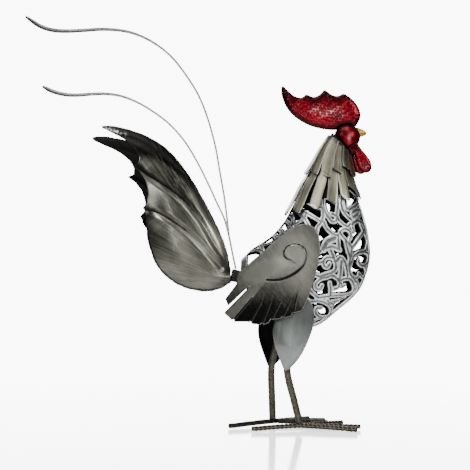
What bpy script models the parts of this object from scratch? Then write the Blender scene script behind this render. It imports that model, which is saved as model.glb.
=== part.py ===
"""Iron rooster sculpture: an openwork metal body on two iron legs, sheet metal wings, thighs, tail and
hackles, a red comb and wattles, and two long plumes. It faces +X and stands on its toes, with Z up and its
right side at -Y. Outlines are (x, z) points in millimetres in the plane of the side view, with x from the
tail socket."""

import math

import bpy
import numpy as np
from mathutils.geometry import delaunay_2d_cdt

MM = 0.001
GAP = 0.3  # clearance between pieces that touch

# The body shell: back line, belly line and half width at each station from the tail to the head
BODY_HALF_WIDTH = 42.5
SHELL_WALL = 2.4
BAR_HALF_WIDTH = 2.4
SEAM_HALF_WIDTH = 2.6
STATIONS = (
    ((6.0, 166.5), (5.0, 146.5), 0.20),
    ((17.0, 177.0), (15.0, 132.0), 0.47),
    ((28.0, 184.0), (30.0, 117.0), 0.69),
    ((37.0, 190.5), (50.0, 106.0), 0.86),
    ((44.0, 198.0), (78.0, 99.0), 0.96),
    ((50.0, 206.0), (103.0, 116.0), 1.00),
    ((56.0, 217.0), (124.5, 136.5), 0.96),
    ((61.0, 227.0), (134.4, 165.0), 0.88),
    ((67.0, 240.0), (133.6, 189.0), 0.75),
    ((74.5, 252.0), (127.6, 214.0), 0.62),
    ((81.0, 264.5), (119.0, 237.0), 0.49),
    ((87.3, 277.5), (115.2, 256.5), 0.37),
    ((97.0, 293.5), (113.9, 274.1), 0.252),
)
LAST = len(STATIONS) - 1
NECK_START = 9.6  # station where the openwork stops, under the hackles
TAIL_START = 0.55
SHELL_LENGTH, SHELL_GIRTH = 240.0, 120.0  # unrolled size that the openings are worked out on
SMALLEST_OPENING = 9.0  # square millimetres
BORDER_ANGLE, BORDER_HALF_WIDTH = math.radians(164), 3.2  # a bar beside the belly line, between two stations
BORDER_REACH = (3.0, 9.7)
BRIDGES = (3.0, 3.7, 4.4, 5.1, 5.8, 6.5, 7.2, 7.9, 8.6, 9.3)  # stations of the short bars from it to the belly line
OPENING_DETAIL = 3.6  # square millimetres that a corner of an opening may leave out

# Hackles: strips of one width, hung round the neck in two tiers. Each tier has its collar's height at the
# back and at the front, its ends' height at the back and at the front, its lift over the body at the collar
# and at the ends, and how much shorter each strip was cut. Strips are counted round from the back by the left
STRIP_SHEET = 1.2
STRIP_WIDTH = 9.8
STRIP_SHARE = 0.93  # of the room between two strips' middles, at most
STRIP_FLARE = 0.8  # below 1, the strips leave the body early
STRIP_ROWS = 5
HACKLE_LOWER = ((266.0, 256.0), (210.0, 229.5), (1.0, 3.4))
HACKLE_UPPER = ((290.5, 272.5), (249.5, 249.5), (1.0, 4.9))
LOWER_SHORTER = (0.0, 2.0, -1.5, 6.0, 0.5, 3.5, -2.0, 1.0, 0.0, -2.5, 9.5, 2.5, 2.0, 1.0, 0.0, 0.0)
UPPER_SHORTER = (1.0, -2.5, 4.0, 0.0, -1.5, 3.0, 0.0, 0.0, -2.0, 5.5, 1.5, -3.0, 0.0, -1.0)

# Head
HEAD_CENTRE = (112.5, 289.3)
HEAD_RADII = (13.3, 10.8, 12.8)
BEAK_REACH = 19.7  # from the head's middle to the tip
BEAK_START = 6.5  # from the head's middle to the beak's hidden end
BEAK_RISE, BEAK_DROP = 5.0, 1.3  # its root over the head's middle, and how far the tip lies below the root
BEAK_HALF_WIDTH, BEAK_HALF_HEIGHT = 4.6, 5.2

COMB_RIM = 2.4
COMB_HALF_THICK = 5.2
COMB_REACH = 9.0
COMB_TOP = (
    (48, 341), (46.4, 337), (47.6, 329), (52.5, 318), (61.5, 308.6), (74, 301.3), (86.8, 297.6),
    (99.5, 296.4),
)
COMB_CREST = (
    (125.8, 308.5), (125.4, 316), (121.4, 323.8), (115, 330), (109.3, 333.2), (105, 331.6), (101.1, 331),
    (96.3, 332.8), (90.3, 337), (87, 334.2), (83.4, 331.4), (78.2, 330), (71.8, 332.6), (69, 330.6),
    (65.5, 329.2), (59, 331.4), (53.3, 336.4),
)

WATTLE_Y = 6.9
WATTLE_RIM, WATTLE_HALF_THICK, WATTLE_REACH = 1.2, 2.6, 5.0
WATTLE = (
    (121.2, 282.8), (123.8, 279.8), (127.8, 274.6), (132, 269.4), (135.2, 264.4), (136.4, 260),
    (135.8, 256), (133.4, 253.3), (130, 252.6), (126.6, 253.8), (123.8, 256.6), (121.4, 261.2),
    (119.8, 266.6), (118.8, 271.6), (118.6, 275.6),
)
WATTLE_LEFT_SWING = 4.0  # how far back the left wattle's lower end hangs

# Wings
WING_SHEET = 1.5
WING_FACET = 11.0
WING_BEND_X, WING_BEND_RADIUS_X = 76.5, 130.0
WING_BEND_Z, WING_BEND_RADIUS_Z = 160.0, 220.0
WING_SHOULDER = (
    (1.3, 141.5), (3.5, 152.5), (12.4, 160.4), (26.3, 172.2), (40.1, 184.4), (49.4, 191.4), (57.5, 197),
    (66, 199.6), (74, 198), (79.6, 192.4), (82, 183), (81.3, 167.1), (77.1, 148.6), (71.5, 130.2),
)
WING_TIPS = (
    ((64.5, 115.6), (56.6, 113.2)),
    ((55.4, 110.6), (46.2, 108.2)),
    ((44.9, 108.0), (35.6, 107.0)),
    ((34.4, 104.6), (26.6, 101.6)),
    ((25.4, 102.0), (17.2, 102.6)),
    ((12.6, 104.8), (-1.2, 104.6)),
    ((-3.0, 106.6), (-10.8, 113.2)),
    ((-6.6, 121.0), (-9.6, 127.2)),
)
WING_SLIT_TOPS = (
    (60.4, 133.4), (55.0, 129.0), (45.2, 126.8), (35.6, 126.2), (27.4, 127.4), (18.6, 130.0), (13.2, 138.6),
)
WING_SLIT = 0.7

# Tail: a socket behind the body, two cupped panels with three points each, and two plumes
SOCKET_SIZE = (8.4, 18.0, 12.5)
SOCKET_CENTRE = (0.0, 150.2)
SOCKET_TURN = math.radians(12)
TAIL_SHEET = 1.4
TAIL_ROOT_Y, TAIL_CUP = 2.2, 20.0
TAIL_REACH = 36.0
TAIL_LEADING = (
    (-4.9, 154.5), (-7.5, 174), (-15, 194), (-28, 220.5), (-45, 249.6), (-64.5, 274), (-84.1, 288),
    (-104, 296), (-121.5, 300), (-132.5, 300.3),
)
TAIL_POINTS = (
    ((-133.6, 298.6), (-130, 295.6), (-118.7, 290), (-106.8, 283), (-98.2, 275), (-94.6, 267), (-95.6, 261.2)),
    ((-101.9, 259), (-99.2, 256.6), (-94.6, 252.6), (-88.4, 243.6), (-85.8, 232), (-87, 222.6)),
    ((-91.5, 217), (-89.8, 214)),
)
TAIL_LOWER = (
    (-88.9, 210), (-88.5, 200.2), (-87.1, 185.4), (-83.1, 171.5), (-76.2, 157.7), (-64.3, 145.8),
    (-49.5, 137.9), (-30.5, 134.4), (-14.5, 137), (-4.9, 143.6),
)
TAIL_GROOVES = (
    ((-112, 293.5), (-96, 285), (-72, 264), (-48, 236), (-28, 204)),
    ((-99.5, 258.6), (-86, 250.5), (-66, 232), (-42, 205), (-18, 172)),
    ((-89, 216.4), (-76, 210.5), (-56, 196), (-34, 178), (-12, 156)),
)
GROOVE_DEPTH, GROOVE_HALF_WIDTH = 2.0, 4.5
TAIL_LEFT_DROP = math.radians(4.3)  # the left panel was welded on a little lower
TAIL_LEFT_NARROWER = 6.5  # and its lower edge was cut further in

PLUME_SHEET = 0.9
PLUME_ROOT_WIDTH, PLUME_TIP_WIDTH = 2.6, 7.0
PLUME_TIP_TWIST = math.radians(16)
PLUME_UPPER = (
    (0.8, 157), (-2.4, 172), (-5.8, 189), (-7.6, 204), (-10.7, 228.5), (-15.3, 254.6), (-19.9, 280.6),
    (-27.5, 308.1), (-36.7, 331.1), (-49, 351), (-62.7, 368.6), (-78.1, 381.6), (-94.9, 390.8),
    (-111.7, 395.8), (-131.6, 397.4), (-151.5, 396.3), (-169.9, 395.5), (-183.7, 396.6), (-195.9, 400.7),
    (-210.2, 410.2),
)
PLUME_LOWER = (
    (0.8, 157), (-2.4, 172), (-5.8, 189), (-10.7, 207.1), (-18.4, 223.9), (-27.5, 243.8), (-38.3, 265.3),
    (-50.5, 285.2), (-65.8, 302.8), (-82.6, 315.8), (-99.5, 325.7), (-116.3, 332), (-131.6, 334),
    (-145.4, 333.7), (-159.2, 332.8), (-171.4, 333.4), (-183.7, 336.5), (-194.8, 341.8),
)
PLUME_ROOT_Y, PLUME_TIP_Y = 2.2, 7.0

# Thighs, legs and feet
THIGH_SHEET = 1.5
THIGH_OUTLINE = (
    (49.9, 57.4), (46.6, 60.4), (42.6, 71), (38.6, 83), (36.8, 95), (38.5, 106), (44, 117), (52, 125.5),
    (62, 129.5), (70, 128), (75.2, 120), (76.2, 109), (75, 99), (72.4, 90.6), (67.2, 78.4), (61, 67.8),
    (53.6, 59.8),
)
THIGH_UNDER_WING = 2.3  # clearance between its top and the wing
THIGH_DOME, THIGH_REACH = 7.5, 16.0
THIGH_DOME_TOP, THIGH_DOME_FADE = 118.0, 36.0
LEG_RADIUS = 3.1
TOE_RADIUS = 2.4
TOE_ARCH = 1.1
TOE_FLAT = 5.0  # level stretch at a toe's end, which stands on the ground
ROD_SIDES = 8
LEGS = {
    "right": {
        "ankle": (63.0, -22.0), "knee": (50.0, -25.0, 58.0), "hip": (56.5, -25.0),
        "toes": ((53.0, -29.6), (59.6, 1.3), (45.0, 44.5)), "back": (-46.5, -20.8),
    },
    "left": {
        "ankle": (38.0, 24.0), "knee": (36.5, 25.0, 59.0), "hip": (50.0, 25.0),
        "toes": ((38.6, 46.0), (54.4, 25.4), (56.0, 0.5)), "back": (-43.4, -39.6),
    },
}
LEFT_THIGH_BACK = 13.5

# Openwork: each stroke is the middle line of a bar, on the right half, in the plane of the side view
STROKES = (
    (((114.5, 177), (121, 185.5), (127, 193), (128, 197.5), (125.5, 202.5), (120.5, 204), (116.5, 201.5),
      (115, 198.5), (116.5, 194.5)), 1.0),
    (((114.5, 177), (109, 183), (103.5, 189), (102.5, 192), (105, 194.5), (109, 195), (112.5, 192.5),
      (113.5, 188.5), (112, 185)), 1.0),
    (((98, 247), (100, 229), (100.5, 219), (99.5, 211)), 1.0),
    (((107, 243), (105, 227), (104, 220.5), (105.5, 214), (109.5, 208.5), (114.5, 204)), 1.0),
    (((87.5, 255), (88, 236), (86.5, 226), (86.5, 218), (88.5, 211), (91.5, 206), (94.5, 202.5), (98, 203), (99, 206.5),
      (97.5, 209), (94.5, 210)), 1.0),
    (((99, 210.5), (101, 204), (107, 199), (110.5, 198), (113, 200.5)), 1.0),
    (((85, 216), (86, 209.5), (84, 202), (80, 197)), 1.0),
    (((86.5, 202), (88.5, 196.5), (92.5, 192), (97.5, 189), (100.5, 189)), 1.0),
    (((108.5, 223), (109, 217), (112, 215), (117, 217.5), (121, 221), (123.5, 226.5)), 1.0),
    (((124.5, 215.5), (118.5, 214), (115, 210.5), (117, 207.5), (121, 210.5)), 1.0),
    (((114, 175.5), (113, 168.5), (111.5, 162), (111.5, 156), (113.5, 150.5), (117.5, 147.5), (121.5, 149),
      (122, 152)), 1.0),
    (((112.5, 159), (115.5, 167.5), (120.5, 172), (127.5, 173.5), (132, 171), (132, 165), (129, 160.5),
      (124.5, 160), (121.5, 162.5), (121.5, 165)), 1.0),
    (((110, 149), (109, 156), (107.5, 162), (104.5, 166.5), (101.5, 167), (98.5, 163.5)), 1.0),
    (((108, 182), (110.5, 172.5), (112.5, 166.5)), 1.0),
    (((85.5, 175), (90.5, 177), (95, 177.5), (98.5, 176), (102, 174.5)), 1.1),
    (((100, 188), (100.5, 182), (101, 175.5)), 1.0),
    (((92.5, 174), (95, 169), (96.5, 164.5), (98, 160.5), (97.5, 155.5), (93.5, 152.5), (87.5, 150.5),
      (82.5, 148.5)), 1.1),
    (((95, 166.5), (89, 167), (85.5, 163), (87, 158.5), (90, 158), (91.5, 161)), 1.0),
    (((90.5, 148.5), (82.5, 146), (78, 141.5), (78.5, 137.5), (82.5, 136.5), (84.5, 140)), 1.0),
    (((88.5, 147.5), (94.5, 149.5), (100, 146.5), (102, 142.5), (100.5, 138), (97, 137)), 1.0),
    (((101.5, 144.5), (107, 146.5), (112.5, 146.5), (116.5, 141.5), (117, 135.5), (112, 131.5), (101.5, 130.5),
      (91, 129.5), (81, 128)), 1.0),
    (((103.5, 142.5), (105, 139), (107.5, 140.5)), 0.8),
    (((92, 142.5), (93, 136.5), (93, 131.5)), 1.0),
    (((73, 124), (80, 125), (87.5, 123.5), (93.5, 119.5), (95, 114.5), (92.5, 110.5), (87.5, 109), (82, 110),
      (78.5, 114), (79.5, 118), (84.5, 118)), 1.0),
    (((90, 125.5), (95.5, 122), (101.5, 125.5)), 1.0),
    (((97, 186), (90, 183), (85.5, 175.5)), 1.7),
    (((103.5, 163.5), (103, 155), (102, 146)), 1.2),
    (((8, 152), (20, 158), (32, 166), (46, 168), (58, 162), (62, 151), (56, 142), (47, 143), (46, 151)), 1.0),
    (((25, 182), (27, 174), (27, 164)), 1.0),
    (((38, 191), (43, 182), (43, 168)), 1.0),
    (((50, 206), (57, 195), (61, 183), (60, 172), (54, 165)), 1.0),
    (((58, 217), (68, 205), (74, 192), (73, 180), (66, 171), (60, 168)), 1.0),
    (((80, 197), (78, 187), (72, 180)), 1.0),
    (((85.5, 175.5), (79, 171), (70, 168), (61, 160)), 1.0),
    (((82.5, 148.5), (74, 151), (66, 149), (60, 145)), 1.0),
    (((73, 124), (66, 129), (60, 136), (57, 143)), 1.0),
    (((81, 128), (74, 134), (70, 142), (68, 149)), 1.0),
    (((44, 116), (50, 114.5), (57, 113), (64, 110.5), (70, 113)), 2.2),
    (((48, 106), (50, 116), (55, 126), (63, 132)), 1.0),
    (((30, 117), (36, 126), (38, 136), (33, 144), (26, 146), (18, 143)), 1.0),
    (((38, 132), (46, 134), (57, 128)), 1.0),
    (((14, 132), (20, 138), (23, 146)), 1.0),
    (((73, 124), (70, 113), (66, 101)), 1.0),
    (((37, 166), (35, 156), (34, 144)), 1.0),
    (((85.5, 163), (78, 161), (70, 159), (62, 154)), 1.0),
    (((62, 228), (70, 223), (78, 218), (85, 216)), 1.0),
    (((58, 217), (70, 211), (84, 202)), 1.0),
    (((67, 240), (76, 235), (86.5, 229)), 1.0),
    (((6.5, 169), (14, 174), (21.5, 176), (26.5, 174), (25.5, 169.5)), 1.0),
    (((25, 180), (32.5, 182), (40.5, 186), (45.5, 192.5), (43.5, 196)), 1.0),
    (((42, 187.5), (49, 193), (55, 199.5), (56.5, 207), (53.5, 210.5)), 1.0),
    (((55, 199.5), (61.5, 202.5), (67.5, 206.5), (69.5, 212)), 1.0),
    (((127, 194), (131, 185.5), (129.5, 176.5), (126.5, 173)), 0.8),
    (((121.5, 152.5), (126.5, 148.5), (130, 154), (127, 160.5)), 0.8),
    (((116.5, 146.5), (121, 142), (121.5, 135), (117.5, 130)), 0.9),
    (((94, 124), (101, 125.5), (108, 128.5)), 0.8),
    (((94.5, 116), (97, 122), (101, 125.5)), 0.8),
    (((76, 104.5), (81.5, 107.5), (89.5, 109)), 1.0),
    (((118.5, 202.5), (124.5, 211), (124, 215)), 0.8),
    (((127, 194), (124, 200.5)), 1.0),
)

# Colours, roughness and metallic value
STEEL = ((0.42, 0.42, 0.40), 0.35, 1.0)
SILVER = ((0.66, 0.67, 0.66), 0.30, 1.0)
DARK_STEEL = ((0.22, 0.21, 0.19), 0.40, 1.0)
PALE_STEEL = ((0.55, 0.57, 0.57), 0.35, 1.0)
BLACK_IRON = ((0.03, 0.03, 0.03), 0.55, 1.0)
BROWN_IRON = ((0.16, 0.13, 0.09), 0.55, 1.0)
RED = ((0.42, 0.01, 0.02), 0.25, 0.3)
GOLD = ((0.55, 0.36, 0.08), 0.35, 0.6)


def material(name, finish):
    """A Principled material with one colour, roughness and metallic value."""
    found = bpy.data.materials.get(name)
    if found:
        return found
    made = bpy.data.materials.new(name)
    made.use_nodes = True
    shader = made.node_tree.nodes["Principled BSDF"]
    colour, rough, metallic = finish
    shader.inputs["Base Color"].default_value = (*colour, 1.0)
    shader.inputs["Roughness"].default_value = rough
    shader.inputs["Metallic"].default_value = metallic
    return made


def solid(name, points, faces, look):
    """An object from points in millimetres and triangles or quads, with its faces turned outwards."""
    points = np.asarray(points, float)
    triangles = np.array([(f[0], f[i], f[i + 1]) for f in faces for i in range(1, len(f) - 1)])
    a, b, c = (points[triangles[:, i]] for i in range(3))
    if np.einsum("ij,ij->i", a, np.cross(b, c)).sum() < 0:
        faces = [tuple(reversed(f)) for f in faces]
    mesh = bpy.data.meshes.new(name)
    mesh.from_pydata([tuple(p) for p in points * MM], [], [tuple(int(i) for i in f) for f in faces])
    mesh.materials.append(material(*look))
    mesh.shade_smooth()
    mesh.set_sharp_from_angle(angle=math.radians(35))
    made = bpy.data.objects.new(name, mesh)
    bpy.context.scene.collection.objects.link(made)
    return made


def smooth(points, per=5):
    """Points along a Catmull-Rom curve through the given ones."""
    p = np.asarray(points, float)
    ends = np.vstack([2 * p[0] - p[1], p, 2 * p[-1] - p[-2]])
    share = np.linspace(0, 1, per, endpoint=False)[:, None]
    runs = []
    for a, b, c, d in zip(ends, ends[1:], ends[2:], ends[3:]):
        runs.append(
            0.5 * (2 * b + (c - a) * share + (2 * a - 5 * b + 4 * c - d) * share**2
                   + (3 * b - a - 3 * c + d) * share**3)
        )
    return np.vstack([*runs, p[-1:]])


def inside(loop, points):
    """Which points lie inside a closed loop, by the even-odd rule."""
    x, z = points[:, :1], points[:, 1:]
    ax, az = loop[:, 0], loop[:, 1]
    bx, bz = np.roll(ax, -1), np.roll(az, -1)
    spans = (az > z) != (bz > z)
    with np.errstate(divide="ignore", invalid="ignore"):
        crossing = ax + (z - az) / (bz - az) * (bx - ax)
    return (spans & (x < crossing)).sum(axis=1) % 2 == 1


def distance_to(line, points, closed=False):
    """Each point's distance to a line of points, which may be closed."""
    a = np.asarray(line, float)
    b = np.roll(a, -1, axis=0)
    if not closed:
        a, b = a[:-1], b[:-1]
    along = b - a
    offset = points[:, None, :] - a[None]
    share = (offset * along).sum(-1) / np.maximum((along * along).sum(-1), 1e-12)
    nearest = a + np.clip(share, 0, 1)[..., None] * along
    return np.sqrt(((points[:, None, :] - nearest) ** 2).sum(-1)).min(axis=1)


def lattice(loops, spacing):
    """Points of a triangular lattice inside the first loop and outside the others, clear of every edge."""
    low, high = loops[0].min(axis=0), loops[0].max(axis=0)
    rows = np.arange(low[1], high[1], spacing * math.sqrt(0.75))
    points = np.array(
        [(x + spacing / 2 * (row % 2), z)
         for row, z in enumerate(rows)
         for x in np.arange(low[0], high[0], spacing)]
    )
    keep = inside(loops[0], points)
    for loop in loops[1:]:
        keep &= ~inside(loop, points)
    for loop in loops:
        keep &= distance_to(loop, points, closed=True) > 0.55 * spacing
    return points[keep]


def filled(loops, spacing, extra=()):
    """(points, triangles, border edges) of the flat area between the loops, filled with triangles."""
    loops = [np.asarray(loop, float) for loop in loops]
    inner = lattice(loops, spacing) if spacing else np.empty((0, 2))
    if len(extra):
        extra = np.asarray(extra, float)
        far = ((inner[:, None] - extra[None]) ** 2).sum(-1).min(axis=1) > (0.45 * spacing) ** 2
        inner = np.vstack([inner[far], extra])
    points = np.vstack([*loops, inner])
    edges, start = [], 0
    for loop in loops:
        count = len(loop)
        edges += [(start + i, start + (i + 1) % count) for i in range(count)]
        start += count
    made = delaunay_2d_cdt([tuple(p) for p in points], edges, [], 1, 1e-5)
    points = np.array([tuple(p) for p in made[0]])
    triangles = np.array([tuple(f) for f in made[2]])
    middles = points[triangles].mean(axis=1)
    keep = inside(loops[0], middles)
    for loop in loops[1:]:
        keep &= ~inside(loop, middles)
    triangles = triangles[keep]
    a, b, c = (points[triangles[:, i]] for i in range(3))
    turned = (b - a)[:, 0] * (c - a)[:, 1] - (b - a)[:, 1] * (c - a)[:, 0] < 0
    triangles[turned] = triangles[turned][:, ::-1]
    directed = {(int(t[i]), int(t[(i + 1) % 3])) for t in triangles for i in range(3)}
    border = sorted(edge for edge in directed if edge[::-1] not in directed)
    return points, triangles, border


def plate(name, loops, place, spacing, look, extra=()):
    """A sheet or pillow: the area between the loops, set in space by place(points, side) for side 1, -1."""
    flat, triangles, border = filled(loops, spacing, extra)
    count = len(flat)
    points = np.vstack([place(flat, 1), place(flat, -1)])
    faces = [tuple(t) for t in triangles] + [tuple(t[::-1] + count) for t in triangles]
    faces += [(a + count, b + count, b, a) for a, b in border]
    return solid(name, points, faces, look)


def arch(distance, reach):
    """A quarter round from 0 at an edge to 1 at the reach."""
    return np.sqrt(1 - (1 - np.clip(distance / reach, 0, 1)) ** 2)


def sheet_normals(height, points, step=0.05):
    """Unit normals (x, y, z) of a sheet whose y is a height over the side plane."""
    here = height(points)
    dx = (height(points + [step, 0]) - here) / step
    dz = (height(points + [0, step]) - here) / step
    normals = np.stack([-dx, np.ones(len(points)), -dz], axis=1)
    return normals / np.linalg.norm(normals, axis=1, keepdims=True)


def sheet_place(height, thick, side_y):
    """A place function for a sheet of even thickness over the side plane, on the side that side_y gives."""

    def place(points, side):
        middle = np.stack([points[:, 0], height(points), points[:, 1]], axis=1)
        moved = middle + sheet_normals(height, points) * thick / 2 * side
        return moved * [1, side_y, 1]

    return place


def beside(line, offset):
    """Points of a line, and of two lines at an offset on both sides of it."""
    line = np.asarray(line, float)
    along = np.gradient(line, axis=0)
    across = np.stack([-along[:, 1], along[:, 0]], axis=1) / np.linalg.norm(along, axis=1, keepdims=True)
    return np.vstack([line, line + across * offset, line - across * offset])


def rod(name, path, radius, look, sides=ROD_SIDES):
    """A rod along a path, with a flat of its section facing down."""
    path = np.asarray(path, float)
    along = np.gradient(path, axis=0)
    along /= np.linalg.norm(along, axis=1, keepdims=True)
    hint = np.array([0.0, 1.0, 0.0]) if abs(along[0, 2]) > 0.7 else np.array([0.0, 0.0, 1.0])
    across = np.cross(hint, along)
    across /= np.linalg.norm(across, axis=1, keepdims=True)
    third = np.cross(along, across)
    turn = (np.arange(sides) + 0.5) * 2 * math.pi / sides
    corner = radius / math.cos(math.pi / sides)
    rings = path[:, None] + corner * (
        np.cos(turn)[None, :, None] * across[:, None] + np.sin(turn)[None, :, None] * third[:, None]
    )
    faces = []
    for i in range(len(path) - 1):
        for j in range(sides):
            k = (j + 1) % sides
            faces.append((i * sides + j, i * sides + k, (i + 1) * sides + k, (i + 1) * sides + j))
    faces.append(tuple(range(sides))[::-1])
    faces.append(tuple((len(path) - 1) * sides + j for j in range(sides)))
    return solid(name, rings.reshape(-1, 3), faces, look)


def stations_at(station):
    """Back point, belly point and half width of the body at stations, which may lie between two."""
    table = np.array([[*back, *belly, share * BODY_HALF_WIDTH] for back, belly, share in STATIONS])
    dense = smooth(table, 20)
    at = np.clip(np.asarray(station, float), 0, LAST) * 20
    low = np.minimum(at.astype(int), len(dense) - 2)
    return dense[low] + (dense[low + 1] - dense[low]) * (at - low)[..., None]


def body_surface(station, angle):
    """Points of the body's outer surface: angle 0 is the back line, pi the belly line, on the side of +y."""
    row = stations_at(station)
    middle, half = (row[..., 0:2] + row[..., 2:4]) / 2, (row[..., 2:4] - row[..., 0:2]) / 2
    side = middle - np.cos(angle)[..., None] * half
    return np.stack([side[..., 0], np.sin(angle) * row[..., 4], side[..., 1]], axis=-1)


def body_offset(station, angle, lift):
    """Points at a height over the body's outer surface."""
    step = 1e-3
    station = np.clip(station, 2 * step, LAST - 2 * step)
    ahead = body_surface(station + step, angle) - body_surface(station - step, angle)
    round_ = body_surface(station, angle + step) - body_surface(station, angle - step)
    normal = np.cross(ahead, round_)
    normal /= np.linalg.norm(normal, axis=-1, keepdims=True)
    outwards = body_surface(station, angle) - spine(station)
    normal *= np.sign(np.einsum("...i,...i->...", normal, outwards))[..., None]
    return body_surface(station, angle) + normal * np.asarray(lift)[..., None]


def spine(station):
    """The middle of the body at a station."""
    row = stations_at(station)
    middle = (row[..., 0:2] + row[..., 2:4]) / 2
    return np.stack([middle[..., 0], np.zeros(np.shape(station)), middle[..., 1]], axis=-1)


def on_body(line):
    """(station, angle) of side view points, each on the chord from back to belly line of its station."""
    line = np.asarray(line, float)
    many = np.linspace(0, LAST, 1200)
    row = stations_at(many)
    back, chord = row[:, 0:2], row[:, 2:4] - row[:, 0:2]
    offset = line[:, None] - back[None]
    length = (chord**2).sum(-1)
    share = (offset * chord).sum(-1) / length
    miss = np.abs(offset[..., 0] * chord[:, 1] - offset[..., 1] * chord[:, 0]) / np.sqrt(length)
    miss = miss + 1e3 * ((share < -0.1) | (share > 1.1))
    best = miss.argmin(axis=1)
    share = np.clip(share[np.arange(len(line)), best], 0, 1)
    return many[best], np.arccos(1 - 2 * share)


def stroke_points():
    """Every stroke as dense points on the body's right half, turned to +y, with each point's half width."""
    lines, widths = [], []
    for stroke, share in STROKES:
        station, angle = on_body(smooth(stroke, 6))
        line = body_surface(station, angle)
        lines.append(line)
        widths.append(np.full(len(line), BAR_HALF_WIDTH * share))
    station = np.linspace(*BORDER_REACH, 120)
    lines.append(body_surface(station, np.full(120, BORDER_ANGLE)))
    widths.append(np.full(120, BORDER_HALF_WIDTH))
    for station in BRIDGES:
        lines.append(body_surface(np.full(12, station), np.linspace(BORDER_ANGLE, math.pi, 12)))
        widths.append(np.full(12, BAR_HALF_WIDTH))
    return np.vstack(lines), np.concatenate(widths)


def opening_field(stations, angles):
    """Above zero in the openings: the distance to the nearest bar, less the bar's half width."""
    grid_s, grid_a = np.meshgrid(stations, angles, indexing="ij")
    points = body_surface(grid_s, grid_a).reshape(-1, 3)
    lines, widths = stroke_points()
    field = np.full(len(points), np.inf)
    for start in range(0, len(lines), 100):
        line, width = lines[start : start + 100], widths[start : start + 100]
        far = np.sqrt(((points[:, None] - line[None]) ** 2).sum(-1)) - width
        field = np.minimum(field, far.min(axis=1))
    field = field.reshape(grid_s.shape)
    per_station = SHELL_LENGTH / LAST
    field = np.minimum(field, (NECK_START - grid_s) * per_station)
    field = np.minimum(field, (grid_s - TAIL_START) * per_station)
    for ridge in (0.0, math.pi):
        seam = body_surface(grid_s, np.full_like(grid_a, ridge)).reshape(-1, 3)
        to_seam = np.linalg.norm(points - seam, axis=1).reshape(grid_s.shape)
        field = np.minimum(field, to_seam - SEAM_HALF_WIDTH)
    return field


CASES = {
    1: ((3, 0),), 2: ((0, 1),), 3: ((3, 1),), 4: ((1, 2),), 5: ((3, 0), (1, 2)),
    6: ((0, 2),), 7: ((3, 2),), 8: ((2, 3),), 9: ((2, 0),), 10: ((0, 1), (2, 3)),
    11: ((2, 1),), 12: ((1, 3),), 13: ((1, 0),), 14: ((0, 3),),
}


def contour_loops(field, us, vs):
    """Closed loops (u, v) round the areas where a field on a grid is above zero, by marching squares."""
    above = field > 0
    follows = {}
    for i in range(len(us) - 1):
        for j in range(len(vs) - 1):
            case = above[i, j] + 2 * above[i + 1, j] + 4 * above[i + 1, j + 1] + 8 * above[i, j + 1]
            edges = ((i, j, 0), (i + 1, j, 1), (i, j + 1, 0), (i, j, 1))
            for start, end in CASES.get(int(case), ()):
                follows[edges[start]] = edges[end]

    def crossing(edge):
        i, j, up = edge
        k, m = (i, j + 1) if up else (i + 1, j)
        share = field[i, j] / (field[i, j] - field[k, m])
        return (us[i] + (us[k] - us[i]) * share, vs[j] + (vs[m] - vs[j]) * share)

    loops = []
    while follows:
        edge = next(iter(follows))
        loop = []
        while edge in follows:
            loop.append(crossing(edge))
            edge = follows.pop(edge)
        loops.append(np.array(loop))
    return loops


def area_of(loop):
    """Signed area of a loop, above zero where it runs anticlockwise."""
    ahead = np.roll(loop, -1, axis=0)
    return 0.5 * (loop[:, 0] * ahead[:, 1] - loop[:, 1] * ahead[:, 0]).sum()


def thinned(loop, least):
    """The loop without the points whose corner triangle is smaller than the least area."""
    points = [tuple(p) for p in loop]
    while len(points) > 5:
        ring = np.array(points)
        before, after = np.roll(ring, 1, axis=0) - ring, np.roll(ring, -1, axis=0) - ring
        corner = np.abs(before[:, 0] * after[:, 1] - before[:, 1] * after[:, 0]) / 2
        if corner.min() > least:
            break
        points.pop(int(corner.argmin()))
    return np.array(points)


def openings():
    """The openings of one half of the shell as loops on the unrolled surface."""
    stations = np.linspace(0, LAST, 151)
    angles = np.linspace(0, math.pi, 91)
    field = opening_field(stations, angles)
    loops = contour_loops(field, stations / LAST * SHELL_LENGTH, angles / math.pi * SHELL_GIRTH)
    return [thinned(loop, OPENING_DETAIL) for loop in loops if area_of(loop) < -SMALLEST_OPENING]


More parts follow.
